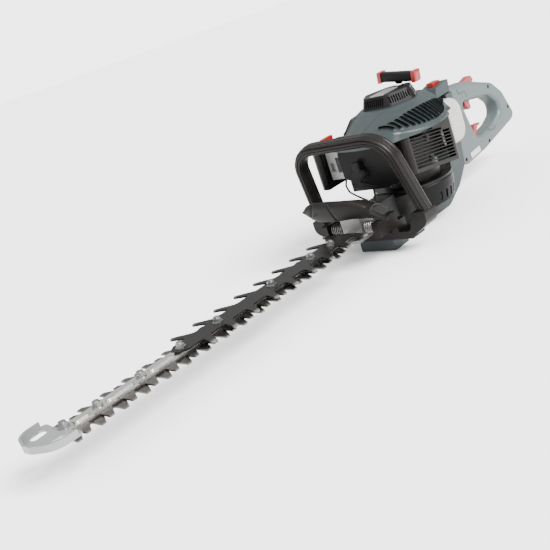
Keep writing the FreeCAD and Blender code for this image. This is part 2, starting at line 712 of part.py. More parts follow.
def induction():
    """Carburettor, air filter with its cover, choke lever and primer bulb on the +Y side."""
    block_out = minus(block((-106, -62), ("fin_half + 1", 74), ("bore_height - 8", "bore_height + 37")),
                      block((-110, -97), (43, 57), ("bore_height + 3", "bore_height + 28")),
                      block((-110, -99), (61, 70), ("bore_height + 6", "bore_height + 20")),
                      block((-101, -84), (36, 43), ("bore_height + 6", "bore_height + 26")))
    primer_base = minus(block((-63, -39), (52, 64), (117, 130)), rod((-50, 55, 118), 7.4, 20, "Y"))
    node("carburettor", joined(block_out, primer_base))
    stub = joined(block((-100, -66), (74, 80), (114, 156)), block((-112, -44), (77, 80), (108, 168)))
    node("filter_plate", minus(stub, rod((-84, 70, 136), 10, 20, "Y")))
    node("filter_element", block((-108, -48), (80, 90), (112, 160)))
    out = size("filter_out")
    skin = plate("XY_Plane", "104", "68", outline([(-116, 78), (-40, 78), (-40, out, 12), (-116, out, 12)]))
    room = block((-113, -43), (70, "filter_out - shell_wall"), (107, 169))
    hole = rod((-74, 90, 166), 3.1, 12)
    node("filter_cover", minus(skin, room, hole))
    stem = rod((-74, 90, 166), 3, 8)
    wing = block((-88, -60), (86.5, 93.5), (174, 182))
    node("choke_lever", joined(stem, wing))
    dome = doc.addObject("Part::Sphere", "dome")
    tie(dome, "Radius", 9)
    tie_base(dome, -50, 66, 118)
    neck = rod((-50, 60, 118), 7, 6, "Y")
    flat = block((-70, -30), (66, 80), (100, 135))
    half_dome = doc.addObject("Part::MultiCommon", "half_dome")
    half_dome.Shapes = [dome, flat]
    node("primer_bulb", joined(half_dome, neck))


def shroud():
    """A domed cover over the fan and the cylinder, lofted from its lower edge to its flat top."""
    wall = size("shell_wall")
    low = size("shroud_low")
    top = size("shroud_top")
    front = size("shroud_front")
    rear = size("shroud_rear")
    half = size("shroud_half")

    levels = [(low, [(front, -half, 14), (front, 36, 30), (-70, half, 40), (rear, half, 42),
                     (rear, -half, 42)]),
              (low + 11, [(front + 10, -half + 5, 16), (front + 22, 4, 60), (-50, half - 3, 60),
                          (rear - 4, half - 5, 44), (rear - 4, -half + 5, 44)]),
              (low + 28, [(-86, -62, 20), (-74, 2, 40), (-42, 61, 40), (rear - 10, 61, 46),
                          (rear - 10, -64, 46)]),
              (top - 2, [(-62, -50, 30), (-58, 0, 30), (-36, 47, 30), (60, 50, 40), (60, -50, 40)]),
              (top, [(-58, -46, 30), (-54, 0, 30), (-33, 44, 30), (57, 47, 40), (57, -47, 40)])]

    def ring(corners, inset, z):
        mid_x = sum(corner[0] for corner in corners) / len(corners)
        mid_y = sum(corner[1] for corner in corners) / len(corners)
        points = []
        for x, y, radius in corners:
            away = math.hypot(x - mid_x, y - mid_y)
            share = 1 - 1.3 * inset / away
            points.append((mid_x + (x - mid_x) * share, mid_y + (y - mid_y) * share, radius - inset))
        return Part.Wire([edge.toShape() for edge in outline(points)]).translated(Vector(0, 0, z))

    def loft(inset, drop):
        return Part.makeLoft([ring(corners, inset, z - drop) for z, corners in levels], True, True)

    mouth = Part.Face(ring(levels[0][1], wall, low - wall)).extrude(Vector(0, 0, wall + 0.5))
    shell = loft(0, 0).cut(loft(wall, wall).fuse(mouth))
    shell = shell.cut(Part.makeCylinder(size("starter_radius") - 6, 20, Vector(0, 0, top - 10)))
    for side, first in ((-1, 0), (1, 7)):
        for i in range(first, 18):
            x = -95 + i * 8.2
            tall = 23 - 0.22 * (i - 8.5) ** 2
            cut = Part.makeBox(3.6, 30, tall, Vector(-1.8, -15, -tall / 2))
            cut.rotate(Vector(), Vector(0, 1, 0), 12)
            cut.translate(Vector(x, side * 74, low + 19))
            shell = shell.cut(cut)
    node("fan_shroud", made(shell))
    front_edge = [(-70, 164.5, 4), (-70, 104, 8), (-34, 98, 8), (36, 120, 8), (36, 164.5, 4)]
    node("cylinder_cover", plate("YZ_Plane", -122, 3, outline(front_edge),
                                 circle(0, size("bore_height"), 12.5)))
    node("ignition_coil", block((58, 71), (-13, 13), (151, 163)))


def starter():
    radius = size("starter_radius")
    top = size("shroud_top")
    tall = size("starter_tall")
    wall = size("shell_wall")

    def drum(r_low, r_high, z_low, z_high):
        wires = []
        for r, z in ((r_low, z_low), (r_high, z_high)):
            turns = [math.radians(30 + 60 * k) for k in range(6)]
            corners = [(r * math.cos(turn), r * math.sin(turn), r * 0.32) for turn in turns]
            wires.append(Part.Wire([edge.toShape() for edge in outline(corners)]).translated(Vector(0, 0, z)))
        return Part.makeLoft(wires, True, True)

    skin = drum(radius * 1.08, radius * 0.94, top, top + tall)
    room = drum(radius * 1.08 - wall, radius * 0.94 - wall, top - 0.01, top + tall - wall)
    shell = skin.cut(room)
    for k in range(6):
        for i in range(-4, 5):
            cut = Part.makeBox(14, 2.2, tall - 7, Vector(radius - 12, i * 4.2 - 1.1, top + 3.5))
            cut.rotate(Vector(), Vector(0, 0, 1), 60 * k)
            shell = shell.cut(cut)
    shell = shell.cut(Part.makeCylinder(6, 10, Vector(size("grip_x"), 0, top + tall - 6)))
    node("starter_cover", made(shell))
    node("starter_badge", plate("XY_Plane", "shroud_top + starter_tall", 1,
                                outline([(-34, -14, 6), (16, -14, 6), (16, 14, 6), (-34, 14, 6)])))
    post = rod((0, 0, "shroud_top - 8"), 5, "starter_tall + 8 - shell_wall")
    node("reel_post", post)
    reel_low = "shroud_top - 6"
    rim = joined(rod((0, 0, reel_low), "reel_radius", 2), rod((0, 0, reel_low), "rope_radius - 4", 10),
                 rod((0, 0, reel_low + " + 8"), "reel_radius", 2))
    node("starter_reel", minus(rim, rod((0, 0, reel_low + " - 1"), 5.05, 20)))
    coil = minus(rod((0, 0, reel_low + " + 2.2"), "rope_radius + 4", 5.6),
                 rod((0, 0, reel_low + " + 1"), "rope_radius - 4", 9))
    node("starter_rope", coil)
    ribbon = minus(rod((0, 0, reel_low + " + 10.5"), 24, 3), rod((0, 0, reel_low + " + 10"), 8, 5))
    node("rewind_spring", ribbon)


def starter_grip():
    """A T grip across the machine, with coloured ends, standing in the cover's rope hole."""
    top = "shroud_top + starter_tall"
    low = top + " + 5"
    bar = block(("grip_x - grip_thick / 2 + 1", "grip_x + grip_thick / 2 - 1"),
                ("-grip_long / 2 + 8", "grip_long / 2 - 8"), (low, low + " + grip_thick - 2"))
    rounded = doc.addObject("Part::Fillet", "rounded")
    rounded.Base = bar
    doc.recompute()
    rounded.Edges = [(i + 1, 4.5, 4.5) for i, edge in enumerate(bar.Shape.Edges)
                     if abs(edge.tangentAt(edge.FirstParameter).y) > 0.9]
    neck = taper(("grip_x", 0, top + " + 1.6"), 5, 8, 4.4)
    root = Vector(size("grip_x"), 0, size("shroud_top") + size("starter_tall"))
    leaning = Placement(Vector(), Rotation(Vector(1, 0, 0), size("grip_tilt")), root)
    node("starter_grip", joined(rounded, neck), leaning)
    caps = []
    for side in (-1, 1):
        cap = block(("grip_x - grip_thick / 2", "grip_x + grip_thick / 2"), (0, 8),
                    (low + " - 1", low + " + grip_thick - 0.6"))
        start = "grip_long / 2 - 8" if side > 0 else "-grip_long / 2"
        tie(cap, "Placement.Base.y", start)
        soft = doc.addObject("Part::Fillet", "soft")
        soft.Base = cap
        doc.recompute()
        box = cap.Shape.BoundBox
        middle = (box.YMax + box.YMin) / 2
        soft.Edges = [(i + 1, 3, 3) for i, edge in enumerate(cap.Shape.Edges)
                      if (edge.CenterOfMass.y > box.YMax - 0.1) == (side > 0)
                      and abs(edge.CenterOfMass.y - middle) > 3]
        caps.append(soft)
    node("grip_caps", group(*caps), leaning)


def fuel_tank():
    front = size("tank_front")
    rear = size("tank_rear")
    low = size("tank_low")
    top = size("tank_top")
    half = size("tank_half")
    flat = plate("XZ_Plane", "-tank_half", "2 * tank_half",
                 outline([(front, low, 12), (rear, low, 24), (rear, top, 24), (front, top, 12)]))
    doc.recompute()
    pad = flat.Tip
    edges = [f"Edge{i + 1}" for i, edge in enumerate(pad.Shape.Edges)
             if half - abs(edge.CenterOfMass.y) < 0.1]
    soft = flat.newObject("PartDesign::Fillet", "soft_edges")
    soft.Base = (pad, edges)
    soft.Radius = 11
    flat.Tip = soft
    neck = rod((100, "tank_half - 4", 146), 13, 12, "Y")
    node("fuel_tank", joined(flat, neck))
    cap = minus(rod((100, "tank_half + 1", 146), 18, 16, "Y"), rod((100, "tank_half", 146), 13.3, 10.4, "Y"))
    node("fuel_cap", cap)


# ---------------------------------------------------------------- frame and handles

swivel = Placement(Vector(size("swivel_x"), 0, size("swivel_z")),
                   Rotation(Vector(0, 1, 0), size("swivel_tilt")))
upright = swivel.multiply(Placement(Vector(), Rotation(Vector(1, 0, 0), 90)))


def bow_frame():
    """Foot, lower run, rising rear leg and column, one moulding bolted below the gear case."""
    thick = size("bow_thick")
    lean = math.tan(math.radians(size("swivel_tilt")))
    gap = size("swivel_gap") / math.cos(math.radians(size("swivel_tilt")))

    def face_x(z):
        return size("swivel_x") + (z - size("swivel_z")) * lean - gap

    high = size("tank_top") + 2
    low = 44
    column = size("tank_rear") + 1
    front = size("foot_front")
    under_tank = size("tank_low") - 4
    points = [(front, 0, 3), (56, 0, 30), (98, 20, 16), (face_x(low) - 4, low, 6), (face_x(low + 4), low + 4),
              (face_x(high), high), (column, high), (column, under_tank, 4), (96, under_tank - 2, 6),
              (84, 50, 12), (79.5, thick + 1, 3), (front + 44, thick + 1, 6), (front + 40, 20), (front, 20)]
    run = plate("XZ_Plane", "-bow_half", "2 * bow_half", outline(points))
    foot = block(("foot_front", "foot_front + 38"), ("-foot_half", "foot_half"), (0, 20))
    bore_at = made(Part.makeCylinder(size("swivel_radius") + size("shaft_fit"), 9.4, Vector(-9.4, 0, 0),
                                     Vector(1, 0, 0)))
    bore_at.Placement = swivel
    node("bow_frame", minus(joined(run, foot), bore_at))
    block_points = [(100, high + 0.5, 6), (112, 192, 6), (140, 197, 6), (face_x(196), 196),
                    (face_x(high + 0.5), high + 0.5)]
    top_block = plate("XZ_Plane", -17, 34, outline(block_points))
    node("switch_block", minus(top_block, block((118, 142), (-7.3, 7.3), (184, 204))))
    rocker = block((119, 141), (-7, 7), (186, 200))
    node("stop_switch", rocker)


def handle_outline():
    """The D handle in its own frame: back along the swivel axis and up."""
    long = size("handle_long")
    gap = size("swivel_gap")
    outer = [(gap, -67, 3), (26, -70, 10), (90, -55, 30), (long - 8, -19, 14), (long, -7, 10),
             (long - 30, 38, 30), (long - 60, 58, 30), (60, 73, 20), (gap, 71, 3)]
    inner = [(34, 38, 8), (62, -25, 8), (82, -28, 6), (128, -13, 18), (long - 53, 2, 14), (long - 54, 20, 16),
             (long - 82, 37, 20)]
    return outer, inner


def rear_handle():
    outer, inner = handle_outline()
    half = size("handle_half")
    wall = size("handle_wall")
    long = size("handle_long")
    cavity_top = [(20, 44, 3), (58, 48, 6), (110, 45, 10), (long - 66, 42, 10), (long - 56, 48, 2),
                  (60, 66, 10), (20, 67, 3)]
    solid = face_of(outline(outer)).cut(face_of(outline(inner)))
    thick = solid.extrude(Vector(0, 0, half))
    edges = [edge for edge in thick.Edges if abs(edge.CenterOfMass.z - half) < 0.01]
    thick = thick.makeFillet(8, edges)
    room = face_of(outline(cavity_top)).extrude(Vector(0, 0, half - wall))
    thick = thick.cut(room)
    trigger_slot = Part.makeBox(43, 32, 7.4, Vector(46, 30, 0))
    lock_slot = Part.makeBox(66, 18, 5.4, Vector(40, 60, 0))
    latch_slot = Part.makeBox(13, 15, 5.4, Vector(68.5, -37.3, 0))
    hub_hole = Part.makeCylinder(size("swivel_radius"), 14, Vector(-1, 0, 0), Vector(1, 0, 0))
    thick = thick.cut(trigger_slot).cut(lock_slot).cut(latch_slot).cut(hub_hole)
    screws = []
    holes = [(128, 52), (long - 22, 6), (100, -43), (14, -60)]
    for u, w in holes:
        thick = thick.cut(Part.makeCylinder(3.4, 4, Vector(u, w, half - 4)))
        screws.append(Part.makeCylinder(3.3, 2.5, Vector(u, w, half - 4)))
    node("handle_shell_left", made(thick), upright)
    node("handle_shell_right", made(thick.mirror(Vector(), Vector(0, 0, 1))), upright)
    node("handle_screws", made(Part.makeCompound(screws)), upright)
    hub = Part.makeCylinder(size("swivel_radius"), 21, Vector(-9, 0, 0), Vector(1, 0, 0))
    node("swivel_hub", made(hub), swivel)


def handle_controls():
    def lever(points, half_width):
        solid = face_of(outline(points)).extrude(Vector(0, 0, 2 * half_width))
        return solid.translated(Vector(0, 0, -half_width))

    trigger = lever([(49, 59, 3), (53, 40, 6), (56, 30, 5), (66, 22, 5), (75, 24, 4), (71, 34, 6),
                     (76, 50, 3), (72, 54, 3), (58, 56, 4), (56, 60, 2)], 7)
    node("throttle_trigger", made(trigger), upright)
    lock = lever([(44, 68, 2), (58, 71, 4), (84, 80, 3), (94, 79.5, 3), (101, 71, 3), (92, 66, 3),
                  (60, 66, 3), (46, 63, 2)], 5)
    node("throttle_lock", made(lock), upright)
    latch = lever([(70, -36, 2), (80, -36, 2), (80, -20, 4), (87, -11, 3), (96, -9, 1.5), (96, -6, 1.4),
                   (76, -7, 4), (70, -20, 3)], 5)
    node("swivel_latch", made(latch), upright)


def loop_handle():
    """A leaning loop of grooved section, its legs standing on the bracket's end blocks."""
    foot = size("bracket_top")
    half = size("loop_half")
    top_half = size("loop_top_half")
    tall = size("loop_height")
    wide = size("loop_wide") / 2
    deep = size("loop_deep") / 2
    points = [Vector(-half, 0, 0), Vector(-top_half, tall, 0), Vector(top_half, tall, 0), Vector(half, 0, 0)]
    path = tube_path(points, size("loop_corner"))
    along = (points[1] - points[0]).normalize()
    soft = 0.85 * wide
    section = outline([(-wide, -deep, soft), (wide, -deep, soft), (wide, deep, soft), (-wide, deep, soft)])
    loop = Part.Wire([edge.toShape() for edge in section])
    turn = Rotation(Vector(1, 0, 0), Vector(0, 0, 1).cross(along).normalize(), along, "ZXY")
    loop.Placement = Placement(points[0], turn)
    solid = swept(path, loop)
    stood = Rotation(Vector(0, 0, 1), 90).multiply(Rotation(Vector(1, 0, 0), 90))
    lean = Rotation(Vector(0, 1, 0), -size("loop_lean"))
    solid.Placement = Placement(Vector(size("loop_x"), 0, foot), lean.multiply(stood))
    floor = Part.makeBox(300, 400, 60, Vector(-300, -200, foot - 60))
    node("loop_handle", made(solid.cut(floor)))


def loop_bracket():
    """A beam across the machine, with upswept end blocks for the loop and arms to the gear case."""
    x = ("loop_x - loop_deep / 2 - 5", "loop_x + loop_deep / 2 + 4")
    out = size("bracket_out")
    top = size("bracket_top")
    parts = [block(x, (-80, 80), ("bracket_low", "bracket_low + 12"))]
    for side in (-1, 1):
        profile = [(side * 56, 21), (side * 74, 21, 20), (side * out, 42, 16), (side * out, top, 4),
                   (side * 88, top, 4), (side * 78, 33, 10), (side * 56, 33)]
        end = plate("YZ_Plane", size("loop_x") - size("loop_deep") / 2 - 5, "loop_deep + 9", outline(profile))
        near, far = sorted((side * 44, side * 56))
        arm = block((-188, "loop_x - 10"), (near, far), (42, 66))
        strut = block(("loop_x - loop_deep / 2 - 5", "loop_x + 8"), (near, far), (22, 50))
        parts += [end, arm, strut]
    holes = [rod(("loop_x", side * 22, 10), 4, 60) for side in (-1, 1)]
    node("loop_bracket", minus(joined(*parts), *holes))
    bolts = [joined(rod(("loop_x", side * 22, "bracket_low + 12"), 6.5, 4),
                    rod(("loop_x", side * 22, 20), 4, 14)) for side in (-1, 1)]
    node("bracket_bolts", group(*bolts))


def hand_guard():
    """A bowed shield in front of the loop, with a hood back over the gear case."""
    half = size("guard_half")
    low = size("guard_low")
    top = size("guard_top")
    back = size("guard_x") + 3
    front_edge = [(-half, low - 2, 8), (-half + 6, low + 12, 8), (-half + 32, top, 12), (half - 22, top, 12),
                  (half, top - 12, 5), (half - 30, low, 10), (-half + 30, low, 8)]
    shield = plate("YZ_Plane", "guard_x", 3, outline(front_edge))
    roof = [(back, top - 12), (back, top - 9), (-160, top - 10, 6), (-140, 86, 0.5), (-142, 84.5),
            (-161, top - 13, 4)]
    hood = plate("XZ_Plane", -58, 116, outline(roof))
    web = [(back, low + 0.2), (back, top - 11), (-164, top - 12), (-178, low + 0.2)]
    ribs = [plate("XZ_Plane", y, 4, outline(web)) for y in (-18, 14)]
    node("hand_guard", joined(shield, hood, *ribs))


def isolation_springs():
    """Coil springs between the snout and the bracket's arms."""
    springs = []
    radius = size("spring_radius")
    wire = size("spring_wire")
    for side in (-1, 1):
        helix = Part.makeHelix(4.4, 21.4, radius)
        start = Vector(radius, 0, 0)
        profile = Part.Wire([Part.makeCircle(wire, start, Vector(0, 1, 0))])
        coil = Part.Wire(helix.Edges).makePipeShell([profile], True, True)
        coil.Placement = Placement(Vector(-172, side * 20.7 if side > 0 else -20.7, 56),
                                   Rotation(Vector(1, 0, 0), -90 if side > 0 else 90))
        springs.append(coil)
    node("isolation_springs", made(Part.makeCompound(springs)))


def control_cables():
    paths = [[Vector(-104, 48, 115), Vector(-116, 44, 104), Vector(-128, 16, 92), Vector(-138, -10, 87)],
             [Vector(-84, 16, 89), Vector(-104, 0, 86), Vector(-128, -14, 81), Vector(-138, -26, 81)]]
    tubes = []
    for points in paths:
        path = tube_path(points, 12)
        tubes.append(swept(path, round_section(path, 1.6)))
    node("control_cables", made(Part.makeCompound(tubes)))


def build():
    guide_bar()
    blunt_comb()
    cutting_blades()
    bolts_and_nuts()
    tip_guard()
    gear_train()
    gear_case()
    clutch()
    lower_housing()
    crankcase()
    crankshaft()
    cylinder()
    spark_plug()
    flywheel_fan()
    exhaust()
    louvred_cover()
    induction()
    shroud()
    starter()
    starter_grip()
    fuel_tank()
    bow_frame()
    rear_handle()
    handle_controls()
    loop_handle()
    loop_bracket()
    hand_guard()
    isolation_springs()
    control_cables()


def write():
    doc.recompute()
    faults = [obj.Label for obj in doc.Objects if "Invalid" in obj.State or "Error" in obj.State]
    for obj in nodes:
        shape = obj.Shape
        if shape.isNull() or not shape.isValid() or not shape.Solids:
            faults.append(obj.Label + " shape")
    if faults:
        raise RuntimeError("faulty objects: " + ", ".join(faults))
    os.makedirs("parts", exist_ok=True)
    for obj in nodes:
        obj.Shape.exportStep("parts/" + obj.Label + ".step")
        print(obj.Label, len(obj.Shape.Solids), round(obj.Shape.Volume))


build()
write()
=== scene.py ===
"""Hedge trimmer: moulded shells, cutting set, handles and controls, with their finishes."""
import json
import math

import bmesh
import bpy
import numpy as np
from bpy.props import FloatProperty, FloatVectorProperty, IntProperty, PointerProperty
from mathutils import Matrix, Vector

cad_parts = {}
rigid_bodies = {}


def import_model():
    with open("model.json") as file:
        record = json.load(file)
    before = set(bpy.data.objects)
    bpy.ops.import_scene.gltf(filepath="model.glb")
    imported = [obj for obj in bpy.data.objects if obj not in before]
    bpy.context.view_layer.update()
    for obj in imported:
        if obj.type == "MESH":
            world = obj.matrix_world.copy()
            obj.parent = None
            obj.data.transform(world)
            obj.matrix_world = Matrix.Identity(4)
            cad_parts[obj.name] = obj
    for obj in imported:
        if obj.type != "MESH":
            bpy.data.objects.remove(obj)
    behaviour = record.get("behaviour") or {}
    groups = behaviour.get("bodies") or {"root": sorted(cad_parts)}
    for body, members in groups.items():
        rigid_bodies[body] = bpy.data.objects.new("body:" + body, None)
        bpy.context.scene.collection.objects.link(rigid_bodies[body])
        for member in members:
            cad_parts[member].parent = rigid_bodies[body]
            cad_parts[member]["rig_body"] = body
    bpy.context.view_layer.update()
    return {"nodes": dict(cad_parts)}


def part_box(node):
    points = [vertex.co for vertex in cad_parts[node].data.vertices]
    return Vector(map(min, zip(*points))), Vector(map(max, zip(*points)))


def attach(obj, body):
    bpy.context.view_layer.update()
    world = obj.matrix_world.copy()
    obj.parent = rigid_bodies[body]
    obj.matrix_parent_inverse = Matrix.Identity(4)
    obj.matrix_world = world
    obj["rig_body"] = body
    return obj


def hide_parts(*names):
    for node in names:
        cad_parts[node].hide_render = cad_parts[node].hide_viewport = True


bl_info = {
    "name": "Hedge trimmer",
    "version": (1, 0, 0),
    "blender": (4, 5, 0),
    "location": "View3D > Sidebar > Hedge trimmer",
    "description": "Builds the visible skins and finishes of a hedge trimmer round its packed model",
    "category": "Object",
}

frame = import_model()
MM = 0.001
MAIN = "engine_frame"
HANDLE = "rear_handle"
TILT = math.radians(8)
SWIVEL = (0.140, 0.0, 0.112)
SEEN_ROOM = 4.15
FLOOR_Z = -0.0004
FLOOR_COLOR = (0.92, 0.92, 0.92, 1)
CAMERA_AT = (-1.1730, -0.8798, 0.4192)
CAMERA_RIGHT = (0.6315, -0.7075, -0.3171)
CAMERA_UP = (0.4247, -0.0265, 0.9049)
DUST_COLOR = (0.07, 0.067, 0.062)
OIL_COLOR = (0.06, 0.052, 0.045)
# near-black painted shade for the insides of the shroud's slots
SLOT_SHADE_COLOR = (0.0008, 0.0008, 0.0008)
WORN_COLOR = (0.10, 0.10, 0.10)
SNOUT_COLOR = (0.17, 0.168, 0.165)
COMB_WEAR_FROM = 0.036
SNOUT_FRONT = -0.1495


# ---------------------------------------------------------------- settings

class FinishSettings(bpy.types.PropertyGroup):
    """Colours of the mouldings and metals."""

    teal: FloatVectorProperty(name="Shell colour", description="Grey-teal of the shroud, bow and rear handle",
                              subtype="COLOR", size=3, default=(0.0125, 0.0192, 0.0204))
    handle: FloatVectorProperty(name="Handle colour", description="Lighter grey-teal of the rear handle",
                                subtype="COLOR", size=3, default=(0.055, 0.069, 0.0705))
    dark: FloatVectorProperty(name="Cover colour", description="Black-brown of the covers, loop and guard",
                              subtype="COLOR", size=3, default=(0.0052, 0.0041, 0.0036))
    red: FloatVectorProperty(name="Control colour", description="Red of the trigger, levers and grip ends",
                             subtype="COLOR", size=3, default=(0.20, 0.0018, 0.0012))
    tank: FloatVectorProperty(name="Tank colour", description="Natural white of the blow-moulded tank",
                              subtype="COLOR", size=3, default=(0.34, 0.325, 0.30))
    grain: FloatProperty(name="Grain size", description="Distance between bumps of the moulded texture",
                         unit="LENGTH", default=0.0011, min=0.0002, max=0.01)


class StageSettings(bpy.types.PropertyGroup):
    """Floor, lamps and camera."""

    lens: FloatProperty(name="Lens", description="Focal length of the camera", unit="CAMERA", default=58.29)
    floor_size: FloatProperty(name="Floor size", description="Side of the floor", unit="LENGTH", default=60.0)
    key_power: FloatProperty(name="Key light", description="Strength of the main lamp", default=11.0, min=0.0)
    fill_power: FloatProperty(name="Fill light", description="Strength of the side lamp", default=1.6, min=0)
    sky: FloatProperty(name="Sky", description="Strength of the surrounding light", default=1.9, min=0.0)


# ---------------------------------------------------------------- shader groups

def new_group(name, inputs, outputs):
    """An empty shader group with float or colour sockets, and its input and output nodes."""
    group = bpy.data.node_groups.new(name, "ShaderNodeTree")
    for label, kind, value in inputs:
        socket = group.interface.new_socket(name=label, in_out="INPUT", socket_type=kind)
        if value is not None:
            socket.default_value = value
    for label, kind in outputs:
        group.interface.new_socket(name=label, in_out="OUTPUT", socket_type=kind)
    return group, group.nodes.new("NodeGroupInput"), group.nodes.new("NodeGroupOutput")


def put(tree, kind, **settings):
    """A node with its plain properties and unlinked input values set."""
    made = tree.nodes.new(kind)
    for key, value in settings.items():
        if key.startswith("in_"):
            made.inputs[int(key[3:])].default_value = value
        else:
            setattr(made, key, value)
    return made


def math_node(tree, operation, first, second=None, clamp=False):
    """Result socket of a maths node whose inputs are sockets or numbers."""
    made = put(tree, "ShaderNodeMath", operation=operation, use_clamp=clamp)
    for index, item in enumerate((first, second)):
        if item is None:
            continue
        if isinstance(item, (int, float)):
            made.inputs[index].default_value = item
        else:
            tree.links.new(item, made.inputs[index])
    return made.outputs[0]


def times(tree, first, second, clamp=False):
    """Product of two sockets or numbers."""
    return math_node(tree, "MULTIPLY", first, second, clamp)


def plus(tree, first, second, clamp=False):
    """Sum of two sockets or numbers."""
    return math_node(tree, "ADD", first, second, clamp)


def less(tree, first, second, clamp=False):
    """Difference of two sockets or numbers."""
    return math_node(tree, "SUBTRACT", first, second, clamp)


def tint_node(tree, factor, first, second, blend="MIX"):
    """Result socket of a colour mix; each input is a socket, a number or a colour."""
    made = put(tree, "ShaderNodeMix", data_type="RGBA", blend_type=blend)
    for index, item in ((0, factor), (6, first), (7, second)):
        if isinstance(item, bpy.types.NodeSocket):
            tree.links.new(item, made.inputs[index])
        elif isinstance(item, (int, float)):
            made.inputs[index].default_value = item
        else:
            made.inputs[index].default_value = (*item[:3], 1.0)
    return made.outputs[2]


def moulded_group():
    """Spark-eroded grain and slight sheen variation of a moulding, with rubbed and dusty patches."""
    group, start, end = new_group("Moulded grain", [
        ("Vector", "NodeSocketVector", None), ("Color", "NodeSocketColor", (0.1, 0.1, 0.1, 1)),
        ("Grain", "NodeSocketFloat", 900.0), ("Sheen", "NodeSocketFloat", 0.4),
        ("Dust", "NodeSocketFloat", 0.1)],
        [("Color", "NodeSocketColor"), ("Roughness", "NodeSocketFloat"), ("Height", "NodeSocketFloat")])
    link = group.links.new
    fine = put(group, "ShaderNodeTexNoise", in_3=2.0, in_4=0.6)
    link(start.outputs["Vector"], fine.inputs["Vector"])
    link(start.outputs["Grain"], fine.inputs["Scale"])
    cells = put(group, "ShaderNodeTexVoronoi", feature="SMOOTH_F1")
    link(start.outputs["Vector"], cells.inputs["Vector"])
    link(start.outputs["Grain"], cells.inputs["Scale"])
    broad = put(group, "ShaderNodeTexNoise", in_2=22.0, in_3=4.0, in_4=0.6)
    link(start.outputs["Vector"], broad.inputs["Vector"])
    scuff = put(group, "ShaderNodeTexNoise", in_2=140.0, in_3=5.0, in_4=0.75, in_8=1.5)
    link(start.outputs["Vector"], scuff.inputs["Vector"])
    link(plus(group, times(group, fine.outputs[0], 0.6), cells.outputs[0]), end.inputs["Height"])
    geometry = put(group, "ShaderNodeNewGeometry")
    split = put(group, "ShaderNodeSeparateXYZ")
    link(geometry.outputs["Normal"], split.inputs[0])
    upward = math_node(group, "MAXIMUM", split.outputs["Z"], 0.0)
    spots = times(group, less(group, scuff.outputs[0], 0.46, True), 4.0, True)
    patches = times(group, spots, broad.outputs[0])
    dust = times(group, times(group, patches, plus(group, upward, 0.3)), start.outputs["Dust"], True)
    toned = put(group, "ShaderNodeVectorMath", operation="SCALE")
    link(start.outputs["Color"], toned.inputs[0])
    link(plus(group, times(group, broad.outputs[0], 0.36), 0.82), toned.inputs["Scale"])
    link(tint_node(group, dust, toned.outputs[0], DUST_COLOR), end.inputs["Color"])
    uneven = times(group, less(group, broad.outputs[0], 0.5), 0.18)
    rough = plus(group, plus(group, start.outputs["Sheen"], uneven), times(group, dust, 0.4))
    link(plus(group, rough, times(group, fine.outputs[0], 0.06), True), end.inputs["Roughness"])
    return group


def metal_group():
    """Lines of a ground or machined face, streaks of old oil and small bright nicks."""
    group, start, end = new_group("Worked metal", [
        ("Vector", "NodeSocketVector", None), ("Color", "NodeSocketColor", (0.6, 0.6, 0.6, 1)),
        ("Lines", "NodeSocketFloat", 1.0), ("Stain", "NodeSocketFloat", 0.3),
        ("Sheen", "NodeSocketFloat", 0.3)],
        [("Color", "NodeSocketColor"), ("Roughness", "NodeSocketFloat"), ("Height", "NodeSocketFloat")])
    link = group.links.new
    stretch = put(group, "ShaderNodeVectorMath", operation="MULTIPLY", in_1=(2600.0, 60.0, 2600.0))
    link(start.outputs["Vector"], stretch.inputs[0])
    lines = put(group, "ShaderNodeTexNoise", in_2=1.0, in_3=3.0, in_4=0.7)
    link(stretch.outputs[0], lines.inputs["Vector"])
    stain = put(group, "ShaderNodeTexNoise", in_2=34.0, in_3=6.0, in_4=0.62, in_8=0.8)
    link(start.outputs["Vector"], stain.inputs["Vector"])
    pits = put(group, "ShaderNodeTexNoise", in_2=480.0, in_3=3.0, in_4=0.6)
    link(start.outputs["Vector"], pits.inputs["Vector"])
    mask = times(group, less(group, stain.outputs[0], 0.45, True), 3.2, True)
    mask = times(group, mask, start.outputs["Stain"])
    darker = put(group, "ShaderNodeVectorMath", operation="SCALE")
    link(start.outputs["Color"], darker.inputs[0])
    link(plus(group, times(group, lines.outputs[0], 0.4), 0.76), darker.inputs["Scale"])
    link(tint_node(group, mask, darker.outputs[0], OIL_COLOR), end.inputs["Color"])
    streaks = times(group, less(group, lines.outputs[0], 0.5), start.outputs["Lines"])
    rough = plus(group, start.outputs["Sheen"], times(group, streaks, 0.25))
    link(plus(group, rough, times(group, mask, 0.3), True), end.inputs["Roughness"])
    link(plus(group, streaks, times(group, pits.outputs[0], 0.5)), end.inputs["Height"])
    return group


GROUPS = {}


def shared(name, maker):
    """The shader group of that name, made the first time it is asked for."""
    if name not in GROUPS:
        GROUPS[name] = maker()
    return GROUPS[name]


def finish(name, maker, color, extra, shader, bump, reach):
    """A material whose colour, roughness and relief come from a shared group over Object coordinates."""
    material = bpy.data.materials.new(name)
    material.use_nodes = True
    tree = material.node_tree
    surface = tree.nodes["Principled BSDF"]
    place = put(tree, "ShaderNodeTexCoord")
    effect = put(tree, "ShaderNodeGroup")
    effect.node_tree = shared(maker.__name__, maker)
    tree.links.new(place.outputs["Object"], effect.inputs["Vector"])
    effect.inputs["Color"].default_value = (*color, 1)
    for key, value in extra.items():
        effect.inputs[key].default_value = value
    relief = put(tree, "ShaderNodeBump")
    relief.inputs["Strength"].default_value = bump
    relief.inputs["Distance"].default_value = reach
    tree.links.new(effect.outputs["Color"], surface.inputs["Base Color"])
    tree.links.new(effect.outputs["Roughness"], surface.inputs["Roughness"])
    tree.links.new(effect.outputs["Height"], relief.inputs["Height"])
    tree.links.new(relief.outputs["Normal"], surface.inputs["Normal"])
    for key, value in shader.items():
        surface.inputs[key].default_value = value
    return material


